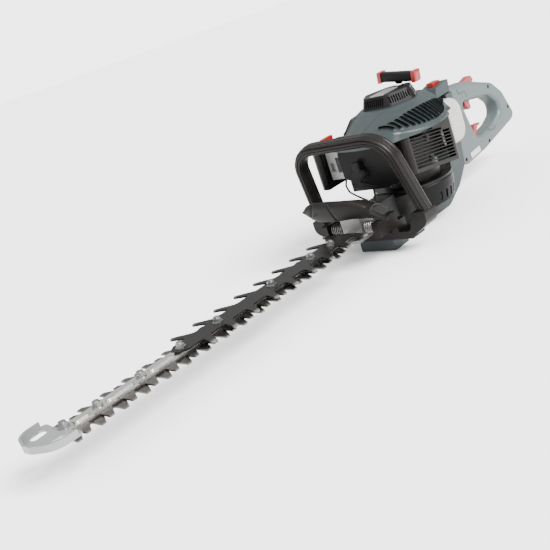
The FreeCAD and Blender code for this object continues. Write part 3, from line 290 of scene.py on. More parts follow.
def slot_shade_tint(material, color):
    """Paints shade into a moulding's slots: darkens it to near black, dulls it and takes away its reflection
    where the piece's recess attribute is 1.
    """
    tree = material.node_tree
    surface = tree.nodes["Principled BSDF"]
    source = surface.inputs["Base Color"].links[0].from_socket
    sheen = surface.inputs["Roughness"].links[0].from_socket
    depth = put(tree, "ShaderNodeAttribute", attribute_name="recess")
    tree.links.new(tint_node(tree, depth.outputs["Fac"], source, color), surface.inputs["Base Color"])
    tree.links.new(math_node(tree, "MAXIMUM", sheen, depth.outputs["Fac"]), surface.inputs["Roughness"])
    level = surface.inputs["Specular IOR Level"]
    open_share = less(tree, 1.0, depth.outputs["Fac"], True)
    tree.links.new(times(tree, open_share, level.default_value), level)
    return material


def snout_tint(material, bright, edge):
    """Bare alloy in front of a line across the machine, black paint behind it."""
    tree = material.node_tree
    surface = tree.nodes["Principled BSDF"]
    source = surface.inputs["Base Color"].links[0].from_socket
    place = put(tree, "ShaderNodeTexCoord")
    split = put(tree, "ShaderNodeSeparateXYZ")
    tree.links.new(place.outputs["Object"], split.inputs[0])
    bare = math_node(tree, "LESS_THAN", split.outputs["X"], edge)
    tree.links.new(tint_node(tree, bare, source, bright), surface.inputs["Base Color"])
    tree.links.new(times(tree, bare, 0.9), surface.inputs["Metallic"])
    return material


def tip_tint(material, worn, edge):
    """Paint rubbed pale on the finger tips, beyond a distance from the middle of the comb."""
    tree = material.node_tree
    surface = tree.nodes["Principled BSDF"]
    source = surface.inputs["Base Color"].links[0].from_socket
    place = put(tree, "ShaderNodeTexCoord")
    split = put(tree, "ShaderNodeSeparateXYZ")
    tree.links.new(place.outputs["Object"], split.inputs[0])
    away = less(tree, math_node(tree, "ABSOLUTE", split.outputs["Y"]), edge, True)
    rubbed = times(tree, away, 120.0, True)
    tree.links.new(tint_node(tree, rubbed, source, worn), surface.inputs["Base Color"])
    return material


def look(name, maker, color, extra, shader, bump, reach):
    """One row of the list of finishes, by field name."""
    return {"name": name, "maker": maker, "color": color, "extra": extra, "shader": shader,
            "bump": bump, "reach": reach}


def gloss(level, **more):
    """Strength of the clear reflection on a moulding, with other shader constants."""
    return {"Specular IOR Level": level} | {key.replace("_", " "): value for key, value in more.items()}


def grain(sheen, dust, size=None):
    """Inputs of the moulded effect; without a size the grain is the one in the settings."""
    return {"Sheen": sheen, "Dust": dust} | ({"Grain": size} if size else {})


def worked(lines, stain, sheen):
    """Inputs of the metal effect."""
    return {"Lines": lines, "Stain": stain, "Sheen": sheen}


def metallic(share):
    """Shader constants of a bare metal."""
    return {"Metallic": share}


LOOKS = {
    "teal": look("teal_shell", moulded_group, "teal", grain(0.36, 0.12), gloss(0.32), 0.16, 0.0003),
    "teal_handle": look("teal_handle", moulded_group, "handle", grain(0.46, 0.22), gloss(0.5), 0.16, 0.0003),
    "dark": look("brown_black_moulding", moulded_group, "dark", grain(0.36, 0.05), gloss(0.14), 0.2, 0.0003),
    "black": look("black_moulding", moulded_group, (0.0024, 0.0022, 0.0022), grain(0.36, 0.05), gloss(0.12),
                  0.18, 0.0003),
    "rubber": look("soft_rubber", moulded_group, (0.003, 0.003, 0.003), grain(0.68, 0.06, 1500.0), gloss(0.3),
                   0.3, 0.0002),
    "red": look("red_moulding", moulded_group, "red", grain(0.3, 0.08, 1400.0),
                gloss(0.5, Coat_Weight=0.15, Coat_Roughness=0.25), 0.08, 0.0002),
    "tank": look("translucent_tank", moulded_group, "tank", grain(0.34, 0.1, 600.0),
                 gloss(0.5, Subsurface_Weight=0.55, Subsurface_Radius=(0.012, 0.011, 0.008),
                       Subsurface_Scale=1.0), 0.05, 0.0002),
    "felt": look("filter_felt", moulded_group, (0.30, 0.26, 0.19), grain(0.9, 0.22, 2200.0), gloss(0.1),
                 0.8, 0.0004),
    "badge": look("silver_badge", moulded_group, (0.30, 0.30, 0.31), grain(0.24, 0.15, 2500.0),
                  metallic(0.65), 0.04, 0.0001),
    "label": look("blank_label", moulded_group, (0.42, 0.40, 0.38), grain(0.3, 0.2, 1200.0), gloss(0.5),
                  0.03, 0.0001),
    "cord": look("starter_cord", moulded_group, (0.4, 0.39, 0.36), grain(0.8, 0.4, 1600.0), gloss(0.2),
                 0.8, 0.0004),
    "ground": look("ground_steel", metal_group, (0.10, 0.092, 0.085), worked(1.0, 0.5, 0.3), metallic(1.0),
                   0.12, 0.0001),
    "bar": look("bright_bar", metal_group, (0.66, 0.65, 0.63), worked(0.8, 0.12, 0.26), metallic(1.0),
                0.08, 0.0001),
    "comb": look("black_comb", metal_group, (0.0045, 0.0042, 0.004), worked(0.4, 0.05, 0.34), gloss(0.1),
                 0.1, 0.0001),
    "zinc": look("zinc_plate", metal_group, (0.28, 0.28, 0.28), worked(0.3, 0.2, 0.3), metallic(1.0),
                 0.05, 0.0001),
    "gear": look("oiled_steel", metal_group, (0.20, 0.19, 0.18), worked(0.6, 0.5, 0.32), metallic(1.0),
                 0.08, 0.0001),
    "cast": look("cast_alloy", metal_group, (0.34, 0.34, 0.335), worked(0.15, 0.35, 0.5), metallic(0.9),
                 0.5, 0.0003),
    "black_cast": look("black_cast_alloy", metal_group, (0.0035, 0.0033, 0.0032), worked(0.1, 0.2, 0.42),
                       gloss(0.18), 0.5, 0.0003),
    "clear": look("clear_guard", metal_group, (0.24, 0.245, 0.245), worked(0.2, 0.1, 0.16), metallic(0.5),
                  0.04, 0.0001),
}


def make_finishes(settings):
    """Every finish, by name; a colour given as a word is one of the settings."""
    made = {}
    for key, row in LOOKS.items():
        fields = dict(row)
        if isinstance(fields["color"], str):
            fields["color"] = tuple(getattr(settings, fields["color"]))
        if fields["maker"] is moulded_group:
            fields["extra"] = {"Grain": 1 / settings.grain} | fields["extra"]
        made[key] = finish(**fields)
    tip_tint(made["comb"], WORN_COLOR, COMB_WEAR_FROM)
    snout_tint(made["black_cast"], SNOUT_COLOR, SNOUT_FRONT)
    # painted shade in the slots, wherever a piece carries the recess attribute
    for name in ("teal", "dark", "black"):
        slot_shade_tint(made[name], SLOT_SHADE_COLOR)
    return made


NODE_FINISH = {
    "bar": ["guide_bar"], "comb": ["blunt_comb"], "ground": ["upper_blade", "lower_blade"],
    "zinc": ["blade_bolts", "lock_nuts", "bracket_bolts", "spark_plug", "reel_post"],
    "clear": ["tip_guard"],
    "gear": ["drive_gear", "pinion_shaft", "clutch_drum", "clutch_shoes", "crankshaft", "connecting_rod",
             "rewind_spring", "isolation_springs"],
    "cast": ["piston", "carburettor", "flywheel_fan"],
    "black_cast": ["gear_case_base", "gear_case_top", "crankcase", "cylinder", "muffler"],
    "black": ["lower_housing", "filter_plate", "filter_cover", "cylinder_cover", "ignition_coil",
              "starter_cover", "starter_reel", "starter_grip", "fuel_cap", "swivel_hub", "cover_screws",
              "handle_screws"],
    "rubber": ["plug_boot", "primer_bulb", "control_cables"],
    "felt": ["filter_element"], "cord": ["starter_rope"],
    "badge": ["starter_badge"], "tank": ["fuel_tank"], "teal": ["fan_shroud", "bow_frame", "switch_block"],
    "teal_handle": ["handle_shell_left", "handle_shell_right"],
    "red": ["choke_lever", "grip_caps", "stop_switch", "throttle_trigger", "throttle_lock", "swivel_latch"],
    "dark": ["louvred_cover", "loop_handle", "loop_bracket", "hand_guard"],
}
FINISHES = {}


def paint(obj, name):
    """Gives the piece its finish as its only material."""
    obj.data.materials.clear()
    obj.data.materials.append(FINISHES[name])


class TRIMMER_OT_finishes(bpy.types.Operator):
    """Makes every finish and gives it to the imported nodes"""

    bl_idname = "trimmer.finishes"
    bl_label = "Finishes"

    def execute(self, context):
        FINISHES.update(make_finishes(context.scene.trimmer_finish))
        for name, nodes in NODE_FINISH.items():
            for node in nodes:
                paint(frame["nodes"][node], name)
        return {"FINISHED"}


# ---------------------------------------------------------------- surfaces

def rounded(corners, steps=8):
    """Closed outline of straight runs joined by true arcs. Corner (x, y, radius) becomes the rational curve
    ((1-t)^2 A + 2 w t (1-t) C + t^2 B) / ((1-t)^2 + 2 w t (1-t) + t^2) between its tangent points A and B,
    where w is the sine of half the corner's angle."""
    given = np.array(corners, float)
    here, radius = given[:, :2], given[:, 2]
    before, after = np.roll(here, 1, 0) - here, np.roll(here, -1, 0) - here
    long_before, long_after = np.linalg.norm(before, axis=1), np.linalg.norm(after, axis=1)
    half = np.arccos(np.clip((before * after).sum(1) / (long_before * long_after), -1, 1)) / 2
    reach = np.minimum(radius / np.tan(half), 0.49 * np.minimum(long_before, long_after))[:, None]
    first = here + before / long_before[:, None] * reach
    last = here + after / long_after[:, None] * reach
    t = np.linspace(0, 1, steps)[None, :, None]
    weight = np.sin(half)[:, None, None]
    parts = ((1 - t) ** 2, 2 * weight * t * (1 - t), t ** 2)
    top = parts[0] * first[:, None] + parts[1] * here[:, None] + parts[2] * last[:, None]
    return (top / sum(parts)).reshape(-1, 2)


def resampled(curve, count, closed=True):
    """The same curve with its points evenly spaced along its length."""
    line = np.vstack([curve, curve[:1]]) if closed else np.asarray(curve, float)
    run = np.concatenate([[0], np.cumsum(np.linalg.norm(np.diff(line, axis=0), axis=1))])
    at = np.linspace(0, run[-1], count, endpoint=not closed)
    return np.stack([np.interp(at, run, line[:, k]) for k in range(line.shape[1])], 1)


def surface(name, points, ring=False, attribute=None):
    """A closed mesh over a grid of points: columns close on themselves, and the rows either close too (ring)
    or end in flat caps. Faces are the quads between neighbours, found from the index grid."""
    rows, columns = points.shape[:2]
    grid = np.arange(rows * columns).reshape(rows, columns)
    lower = grid if ring else grid[:-1]
    upper = np.roll(grid, -1, 0) if ring else grid[1:]
    quads = np.stack([lower, np.roll(lower, -1, 1), np.roll(upper, -1, 1), upper], -1).reshape(-1, 4).tolist()
    if not ring:
        quads += [grid[0][::-1].tolist(), grid[-1].tolist()]
    mesh = bpy.data.meshes.new(name)
    mesh.from_pydata((points.reshape(-1, 3) * MM).tolist(), [], quads)
    # the recess attribute marks the slots, where the finish paints shade
    if attribute is not None:
        layer = mesh.attributes.new("recess", "FLOAT", "POINT")
        layer.data.foreach_set("value", np.ascontiguousarray(attribute.reshape(-1), np.float32))
    return tidy_mesh(name, mesh)


def tidy_mesh(name, mesh, angle=32):
    """Turns the faces outwards, splits the caps into triangles and sets smooth shading up to an angle."""
    work = bmesh.new()
    work.from_mesh(mesh)
    bmesh.ops.remove_doubles(work, verts=work.verts, dist=1e-7)
    bmesh.ops.triangulate(work, faces=[face for face in work.faces if len(face.verts) > 4])
    bmesh.ops.recalc_face_normals(work, faces=work.faces)
    work.to_mesh(mesh)
    work.free()
    mesh.shade_smooth()
    mesh.set_sharp_from_angle(angle=math.radians(angle))
    obj = bpy.data.objects.new(name, mesh)
    bpy.context.scene.collection.objects.link(obj)
    return obj


def settle(obj, look, body, slot, *nodes):
    """Gives a finished piece its finish and body, and hides the nodes that it stands for; its slot is not
    used.
    """
    paint(obj, look)
    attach(obj, body)
    if nodes:
        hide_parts(*nodes)
    return obj


def carried(name, path, section, across, attribute=None):
    """A section carried along a path: point = path + a * side + b * lift, where side is across x tangent made
    unit and lift is tangent x side."""
    ahead = np.gradient(path, axis=0)
    ahead /= np.linalg.norm(ahead, axis=1)[:, None]
    side = np.cross(np.asarray(across, float), ahead)
    side /= np.linalg.norm(side, axis=1)[:, None]
    lift = np.cross(ahead, side)
    points = path[:, None] + section[None, :, :1] * side[:, None] + section[None, :, 1:] * lift[:, None]
    return surface(name, points, attribute=attribute)


def disc_section(radius, count=16):
    """Points of a circle."""
    turn = np.linspace(0, 2 * np.pi, count, endpoint=False)
    return np.stack([radius * np.cos(turn), radius * np.sin(turn)], 1)


def bump_of(distance, width, soft):
    """1 inside a band of that half width, 0 outside, with a smooth edge."""
    x = np.clip((width - distance) / soft + 0.5, 0, 1)
    return x * x * (3 - 2 * x)


def softened(node, look, slot, width, segments=3, angle=34):
    """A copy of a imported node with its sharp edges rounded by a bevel, to catch light as a moulding does."""
    source = frame["nodes"][node]
    work = bmesh.new()
    work.from_mesh(source.data)
    bmesh.ops.remove_doubles(work, verts=work.verts, dist=2e-6)
    bmesh.ops.dissolve_limit(work, angle_limit=math.radians(0.6), verts=work.verts, edges=work.edges)
    mesh = bpy.data.meshes.new(node + "_skin")
    work.to_mesh(mesh)
    work.free()
    mesh.shade_smooth()
    mesh.set_sharp_from_angle(angle=math.radians(angle))
    obj = bpy.data.objects.new(node + "_skin", mesh)
    bpy.context.scene.collection.objects.link(obj)
    bevel = obj.modifiers.new("edges", "BEVEL")
    bevel.width = width * MM
    bevel.segments = segments
    bevel.limit_method = "ANGLE"
    bevel.angle_limit = math.radians(angle)
    bevel.harden_normals = False
    bevel.use_clamp_overlap = True
    return settle(obj, look, source["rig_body"], slot, node)


class ShroudSettings(bpy.types.PropertyGroup):
    """Sizes of the fan shroud's relief."""

    slots: IntProperty(name="Slots", description="Vent slots on a side", default=18, min=1)
    slot_pitch: FloatProperty(name="Slot pitch", description="Distance between slots, in mm", default=8.2)
    slot_wide: FloatProperty(name="Slot width", description="Width of a slot, in mm", default=3.9)


SHROUD_LEVELS = (
    (165, [(-126, -77, 14), (-126, 36, 30), (-70, 77, 40), (76, 77, 42), (76, -77, 42)]),
    (176, [(-116, -72, 16), (-104, 4, 60), (-50, 74, 60), (72, 72, 44), (72, -72, 44)]),
    (193, [(-86, -62, 20), (-74, 2, 40), (-42, 61, 40), (66, 61, 46), (66, -64, 46)]),
    (203, [(-62, -50, 30), (-58, 0, 30), (-36, 47, 30), (60, 50, 40), (60, -50, 40)]),
    (205, [(-58, -46, 30), (-54, 0, 30), (-33, 44, 30), (57, 47, 40), (57, -47, 40)]))


SHROUD_MIDDLE = np.array([-10.0, 0.0])
SHROUD_COLUMNS = 880
SHROUD_ROWS = 76
SLOT_HEIGHT = 182.5
SLOT_LEAN = math.tan(math.radians(12))
SHROUD_FOOT = 165
SHROUD_TOP = 205.0
OPENING_RADIUS = 41
FLANK = 40
WALL = 4.2
TOP_WALL = 3.4


def reach_at(outline, angles):
    """Distance of an outline from the middle of the shroud at each angle."""
    turn = np.arctan2(outline[:, 1], outline[:, 0])
    order = np.argsort(turn)
    return np.interp(angles, turn[order], np.hypot(*outline.T)[order], period=2 * np.pi)


def smoothed_rows(values):
    """Columns smoothed by a bell that mirrors them below the first row and holds them above the last."""
    kernel = np.hanning(13)[1:-1]
    kernel /= kernel.sum()
    pad = len(kernel) // 2
    long = np.vstack([2 * values[:1] - values[pad:0:-1], values, np.repeat(values[-1:], pad, 0)])
    return np.stack([np.convolve(long[:, k], kernel, "valid") for k in range(values.shape[1])], 1)


def shroud_relief(settings, outer):
    """Depth of the slots, their lens-shaped field and the seam at each point, and the slots' mask."""
    x, y, z = np.moveaxis(outer, -1, 0)
    slot = np.zeros_like(x)
    for index in range(settings.slots):
        tall = 11.5 - 0.11 * (index - 8.5) ** 2
        centre = -98 + settings.slot_pitch * index
        lean = centre + (z - SLOT_HEIGHT) * SLOT_LEAN
        inside = bump_of(np.abs(x - lean), settings.slot_wide / 2, 1.1)
        inside = inside * bump_of(np.abs(z - SLOT_HEIGHT), tall, 1.6)
        slot = np.maximum(slot, inside * (np.abs(y) > FLANK) * ((y < 0) | (index >= 7)))
    lens = bump_of(np.sqrt(((x + 29) / 84) ** 2 + ((z - SLOT_HEIGHT) / 16.5) ** 2), 1.0, 0.05)
    field = lens * (np.abs(y) > FLANK) * ((y < 0) | (x > -45))
    turn = np.degrees(np.arctan2(y, x + 10))
    seam_at = np.interp(z, [165, 180, 196, 205], [-196, -181.5, -165, -147])
    away = np.abs((turn - seam_at + 180) % 360 - 180) * np.hypot(x + 10, y) * 0.01745
    seam = bump_of(away, 0.5, 0.7)
    return 3.3 * slot + 1.0 * field + 0.7 * seam, slot


def shroud_points(settings):
    """Rows run up the outside, over the top to the starter's opening and back down inside; columns go round.
    The radius at an angle is interpolated between level outlines and smoothed along the rows; the slots,
    field and seam press it in along the normal."""
    outlines = [rounded(corners, 14) - SHROUD_MIDDLE for _, corners in SHROUD_LEVELS]
    even = resampled(outlines[1], SHROUD_COLUMNS)
    angles = np.arctan2(even[:, 1], even[:, 0])
    radii = np.array([reach_at(outline, angles) for outline in outlines])
    bell = np.hanning(31)[1:-1] / np.hanning(31)[1:-1].sum()
    ringed = np.hstack([radii[:, -14:], radii, radii[:, :14]])
    radii = np.array([np.convolve(row, bell, "valid") for row in ringed])
    heights = np.array([z for z, _ in SHROUD_LEVELS], float)
    run = np.array([0, 14, 35, 54, 59.0])
    at = np.linspace(0, run[-1], SHROUD_ROWS)
    radius = np.stack([np.interp(at, run, radii[:, k]) for k in range(len(angles))], 1)
    height = np.repeat(np.interp(at, run, heights)[:, None], len(angles), 1)
    radius, height = smoothed_rows(radius), smoothed_rows(height)
    unit = np.stack([np.cos(angles), np.sin(angles)], 1)
    outer = np.concatenate([SHROUD_MIDDLE + radius[..., None] * unit, height[..., None]], -1)
    ahead, around = np.gradient(outer, axis=0), np.roll(outer, -1, 1) - np.roll(outer, 1, 1)
    normal = np.cross(around, ahead)
    normal /= np.linalg.norm(normal, axis=2)[..., None] + 1e-9
    depth, slot = shroud_relief(settings, outer)
    outer = outer - normal * depth[..., None]
    hole = np.stack([*(OPENING_RADIUS * unit.T), np.full(len(angles), SHROUD_TOP)], 1)
    share = np.linspace(0, 1, 6)[1:, None, None]
    top = outer[-1] * (1 - share) + hole * share
    inner_at = np.linspace(run[-1], 0, 7)
    inner_r = np.stack([np.interp(inner_at, run, radii[:, k]) for k in range(len(angles))], 1) - WALL
    inner_z = np.interp(inner_at, run, heights) - TOP_WALL
    inner_z[-1] = SHROUD_FOOT
    inner = np.concatenate([SHROUD_MIDDLE + inner_r[..., None] * unit,
                            np.repeat(inner_z[:, None, None], len(angles), 1)], -1)
    rim = (hole - [0, 0, TOP_WALL])[None]
    # the slots' mask on the outer rows, where the teal finish paints shade
    slot_shade_marks = np.zeros((len(outer) + len(top) + 1 + len(inner), len(angles)))
    slot_shade_marks[: len(outer)] = slot
    return np.concatenate([outer, top, rim, inner]), slot_shade_marks


class TRIMMER_OT_shroud(bpy.types.Operator):
    """Domed fan shroud with its lens-shaped field of slots and its seam"""

    bl_idname = "trimmer.shroud"
    bl_label = "Fan shroud"

    def execute(self, context):
        points, slot_shade_marks = shroud_points(context.scene.trimmer_shroud)
        # the marks tell the teal finish where to paint shade in the slots
        shell = surface("shroud_skin", points, ring=True, attribute=slot_shade_marks)
        settle(shell, "teal", MAIN, "teal_plastic", "fan_shroud")
        return {"FINISHED"}


class LoopSettings(bpy.types.PropertyGroup):
    """Sizes of the front loop handle, in millimetres."""

    wide: FloatProperty(name="Width", description="Section across the opening", default=16.5, min=5)
    deep: FloatProperty(name="Depth", description="Section along the machine", default=24.0, min=5)
    groove: FloatProperty(name="Groove", description="Depth of the long grooves", default=0.9, min=0)


LOOP_LEAN = math.radians(13)
LOOP_X = -128
LOOP_FOOT = 62


def loop_path():
    """Centre line of the loop: legs that lean together and a top run, with arcs between, tipped forward."""
    half, top, tall, radius = 102.5, 87.5, 126.5, 42
    arch = rounded([(-half, -3, 0.1), (-top, tall, radius), (top, tall, radius), (half, -3, 0.1)], 26)[13:-13]
    y, up = resampled(arch, 170, closed=False).T
    return np.stack([LOOP_X - math.sin(LOOP_LEAN) * up, y, LOOP_FOOT + math.cos(LOOP_LEAN) * up], 1)


def loop_section(settings):
    """A superellipse |cos|^0.62, |sin|^0.62 whose wall is pressed in by narrow bell curves at each groove."""
    turn = np.linspace(0, 2 * np.pi, 150, endpoint=False)
    a = np.sign(np.cos(turn)) * np.abs(np.cos(turn)) ** 0.62 * settings.wide / 2
    b = np.sign(np.sin(turn)) * np.abs(np.sin(turn)) ** 0.62 * settings.deep / 2
    curve = resampled(np.stack([a, b], 1), 190)
    where = np.degrees(np.arctan2(curve[:, 1] / settings.deep, curve[:, 0] / settings.wide))
    lines = np.array([-158, -122, -90, -58, -22, 22, 58, 90, 122, 158])
    gap = np.abs((where[:, None] - lines + 180) % 360 - 180).min(1)
    return curve * (1 - np.exp(-(gap / 4.2) ** 2) * settings.groove / (settings.wide / 2))[:, None]


class TRIMMER_OT_loop(bpy.types.Operator):
    """Grooved front loop handle"""

    bl_idname = "trimmer.loop"
    bl_label = "Loop handle"

    def execute(self, context):
        section = loop_section(context.scene.trimmer_loop)
        piece = carried("loop_skin", loop_path(), section, (math.cos(LOOP_LEAN), 0, math.sin(LOOP_LEAN)))
        settle(piece, "dark", MAIN, "brown_black_plastic", "loop_handle")
        return {"FINISHED"}


class TRIMMER_OT_guard(bpy.types.Operator):
    """Bowed hand guard with two long grooves, and its hood"""

    bl_idname = "trimmer.guard"
    bl_label = "Hand guard"

    def execute(self, context):
        piece = surface("guard_skin", guard_points())
        settle(piece, "dark", MAIN, "brown_black_plastic", "hand_guard")
        hood = surface("guard_hood", hood_points())
        settle(hood, "dark", MAIN, "brown_black_plastic", "hand_guard")
        return {"FINISHED"}


GUARD_TOP = ((-80, -66, -51, -42, -19, 20, 50, 66, 76, 82), (74, 80, 91, 101, 108, 109.5, 109, 106, 101, 95))
GUARD_LOW = ((-80, -66, -47, -18, 13, 48, 62, 74, 82), (70, 72, 77, 78.5, 76.5, 77, 80, 87, 93))


def guard_points():
    """Rows cross the shield from its right end to its left; each row is a closed loop up the front face and
    down the back. x bows with the square of y, and the face curls back at top and bottom by a power curve."""
    across = np.linspace(-80, 82, 150)
    top = np.interp(across, *GUARD_TOP)
    low = np.interp(across, *GUARD_LOW)
    kernel = np.ones(9) / 9
    top = np.convolve(np.pad(top, 4, "edge"), kernel, "valid")
    low = np.convolve(np.pad(low, 4, "edge"), kernel, "valid")
    up = np.concatenate([np.linspace(0, 1, 26), np.linspace(1, 0, 26)])
    back = np.concatenate([np.zeros(26), np.ones(26)])
    z = low[:, None] + (top - low)[:, None] * up
    bow = 9 * (across / 82) ** 2
    curl = 3.6 * np.abs(2 * up - 1) ** 3
    groove = (np.exp(-((across[:, None] - 65 + 12 * up) / 1.5) ** 2)
              + np.exp(-((across[:, None] - 8 - 15 * up) / 1.5) ** 2))
    groove = groove * (1 - back) * (np.abs(2 * up - 1) < 0.9)
    x = -199.6 + bow[:, None] + curl + 2.8 * back + 1.3 * groove
    return np.stack([x, np.repeat(across[:, None], len(up), 1), z], -1)


def hood_points():
    """Rows run back from the shield over the gear case; a row is a thin closed arch whose crown rises, then
    falls."""
    along = np.linspace(0, 1, 40)
    x = -197 + 54 * along
    fall = np.clip((along - 0.35) / 0.65, 0, 1) ** 1.5
    crown = 99 + 3.4 * np.sin(np.pi * np.clip(along * 1.25, 0, 1)) - 15.5 * fall
    half = 56 - 8 * along
    side = np.concatenate([np.linspace(-1, 1, 44), np.linspace(1, -1, 44)])
    drop = np.concatenate([np.zeros(44), np.full(44, 2.6)])
    y = half[:, None] * side
    z = crown[:, None] - 9 * np.abs(side) ** 3 - drop
    return np.stack([np.repeat(x[:, None], len(side), 1), y, z], -1)


def on_handle(points, out):
    """Points of the rear handle's own plane, back and up from the swivel, placed in the machine."""
    flat = np.asarray(points, float)
    x = SWIVEL[0] / MM + math.cos(TILT) * flat[:, 0] + math.sin(TILT) * flat[:, 1]
    z = SWIVEL[2] / MM - math.sin(TILT) * flat[:, 0] + math.cos(TILT) * flat[:, 1]
    return np.stack([x, np.full(len(flat), -out), z], 1)


class TRIMMER_OT_handle(bpy.types.Operator):
    """Joint lines and the blank label on the rear handle"""

    bl_idname = "trimmer.handle"
    bl_label = "Handle trim"

    def execute(self, context):
        low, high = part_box("handle_shell_left")
        side = -low.y / MM
        strip = np.array([(-0.35, -0.3), (0.35, -0.3), (0.35, 0.06), (-0.35, 0.06)])
        for name, line in HANDLE_LINES.items():
            path = on_handle(resampled(np.array(line, float), 60, closed=False), side)
            settle(carried(name, path, strip, (0, 1, 0)), "black", HANDLE, "black_plastic")
        shape = rounded(LABEL, 10)
        middle = shape.mean(0)
        levels = [(side - 0.4, 1.0), (side + 0.18, 1.0), (side + 0.26, 0.985)]
        rows = [on_handle(middle + (shape - middle) * share, out) for out, share in levels]
        settle(surface("handle_label", np.stack(rows)), "label", HANDLE, "badge")
        return {"FINISHED"}


HANDLE_LINES = {
    "joint_line_upper": ((22, 63), (27, 54), (47, 56), (51, 49), (49, 45)),
    "joint_line_lower": ((5, -40), (3, -48), (6, -58)),
    "joint_line_grip": ((100, -18), (108, -24), (118, -26), (132, -20)),
}
LABEL = ((30, -52, 2), (63, -44.5, 2), (65.5, -54, 2), (32.5, -61.5, 2))


class TRIMMER_OT_springs(bpy.types.Operator):
    """Coil springs on each side of the snout"""

    bl_idname = "trimmer.springs"
    bl_label = "Springs"

    def execute(self, context):
        low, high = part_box("isolation_springs")
        radius = (high.z - low.z) / MM / 2 - 1.2
        centre = ((low.x + high.x) / 2 / MM, (low.z + high.z) / 2 / MM)
        reach = (high.y / MM - 1.3, 21.8)
        for side, name in ((-1, "spring_left"), (1, "spring_right")):
            turn = np.linspace(0, 2 * np.pi * 5.6, 230)
            y = side * np.linspace(reach[1], reach[0], len(turn))
            path = np.stack([centre[0] + radius * np.cos(turn), y, centre[1] + radius * np.sin(turn)], 1)
            settle(carried(name, path, disc_section(0.95, 12), (0.02, 1, 0.01)), "gear", MAIN, "gear_steel",
                   "isolation_springs")
        return {"FINISHED"}


CABLES = (((-104, 48, 115), (-112, 46, 107), (-120, 36, 98), (-126, 20, 93), (-132, 4, 89), (-138, -10, 87)),
          ((-84, 16, 89), (-95, 8, 88), (-106, -1, 85.5), (-118, -8, 83), (-128, -16, 81.3), (-138, -26, 81)))


class TRIMMER_OT_cables(bpy.types.Operator):
    """Throttle cable and switch lead between the engine and the hood"""

    bl_idname = "trimmer.cables"
    bl_label = "Cables"

    def execute(self, context):
        for index, points in enumerate(CABLES):
            knots = np.array(points, float)
            t = np.linspace(0, len(knots) - 1, 90)
            path = np.stack([np.interp(t, range(len(knots)), knots[:, k]) for k in range(3)], 1)
            kernel = np.hanning(17)[1:-1] / np.hanning(17)[1:-1].sum()
            padded = np.pad(path, ((7, 7), (0, 0)), "edge")
            inner = np.stack([np.convolve(padded[:, k], kernel, "valid") for k in range(3)], 1)
            blend = np.minimum(1, np.minimum(np.arange(90), np.arange(90)[::-1]) / 7)[:, None]
            path = path * (1 - blend) + inner * blend
            cable = carried(f"cable_{index + 1}", path, disc_section(1.55), (0, 0, 1))
            settle(cable, "rubber", MAIN, "rubber", "control_cables")
        return {"FINISHED"}


SOFT_NODES = (
    ("bow_frame", "teal", "teal_plastic", 2.0), ("switch_block", "teal", "teal_plastic", 1.6),
    ("loop_bracket", "dark", "brown_black_plastic", 2.0),
    ("lower_housing", "black", "black_plastic", 0.8), ("starter_cover", "black", "black_plastic", 0.7),
    ("filter_cover", "black", "black_plastic", 1.5), ("cylinder_cover", "black", "black_plastic", 1.0),
    ("fuel_cap", "black", "black_plastic", 1.2), ("stop_switch", "red", "red_plastic", 1.0),
    ("throttle_trigger", "red", "red_plastic", 1.6), ("throttle_lock", "red", "red_plastic", 1.4),
    ("swivel_latch", "red", "red_plastic", 1.0), ("choke_lever", "red", "red_plastic", 1.0),
    ("gear_case_top", "black_cast", "cast_aluminium", 1.0),
    ("gear_case_base", "black_cast", "cast_aluminium", 1.0),
    ("carburettor", "cast", "cast_aluminium", 0.8), ("crankcase", "black_cast", "cast_aluminium", 0.8),
    ("blunt_comb", "comb", "black_comb", 0.35), ("starter_badge", "badge", "badge", 0.35))


class TRIMMER_OT_edges(bpy.types.Operator):
    """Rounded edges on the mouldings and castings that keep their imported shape"""

    bl_idname = "trimmer.edges"
    bl_label = "Rounded edges"

    def execute(self, context):
        for node, look, slot, width in SOFT_NODES:
            softened(node, look, slot, width)
        return {"FINISHED"}


# ---------------------------------------------------------------- stage

def room_shade(tree):
    """Brightness of the room by direction: bright overhead, dim low down, with a darker band to one side."""
    place = put(tree, "ShaderNodeTexCoord")
    split = put(tree, "ShaderNodeSeparateXYZ")
    tree.links.new(place.outputs["Generated"], split.inputs[0])
    ramp = put(tree, "ShaderNodeMapRange", interpolation_type="SMOOTHSTEP", in_1=-0.1, in_2=0.65, in_3=0.42,
               in_4=1.35)
    tree.links.new(split.outputs["Z"], ramp.inputs["Value"])
    band = put(tree, "ShaderNodeMapRange", interpolation_type="SMOOTHSTEP", in_1=-0.5, in_2=0.5, in_3=1.15,
               in_4=0.6)
    tree.links.new(split.outputs["X"], band.inputs["Value"])
    return times(tree, ramp.outputs[0], band.outputs[0])


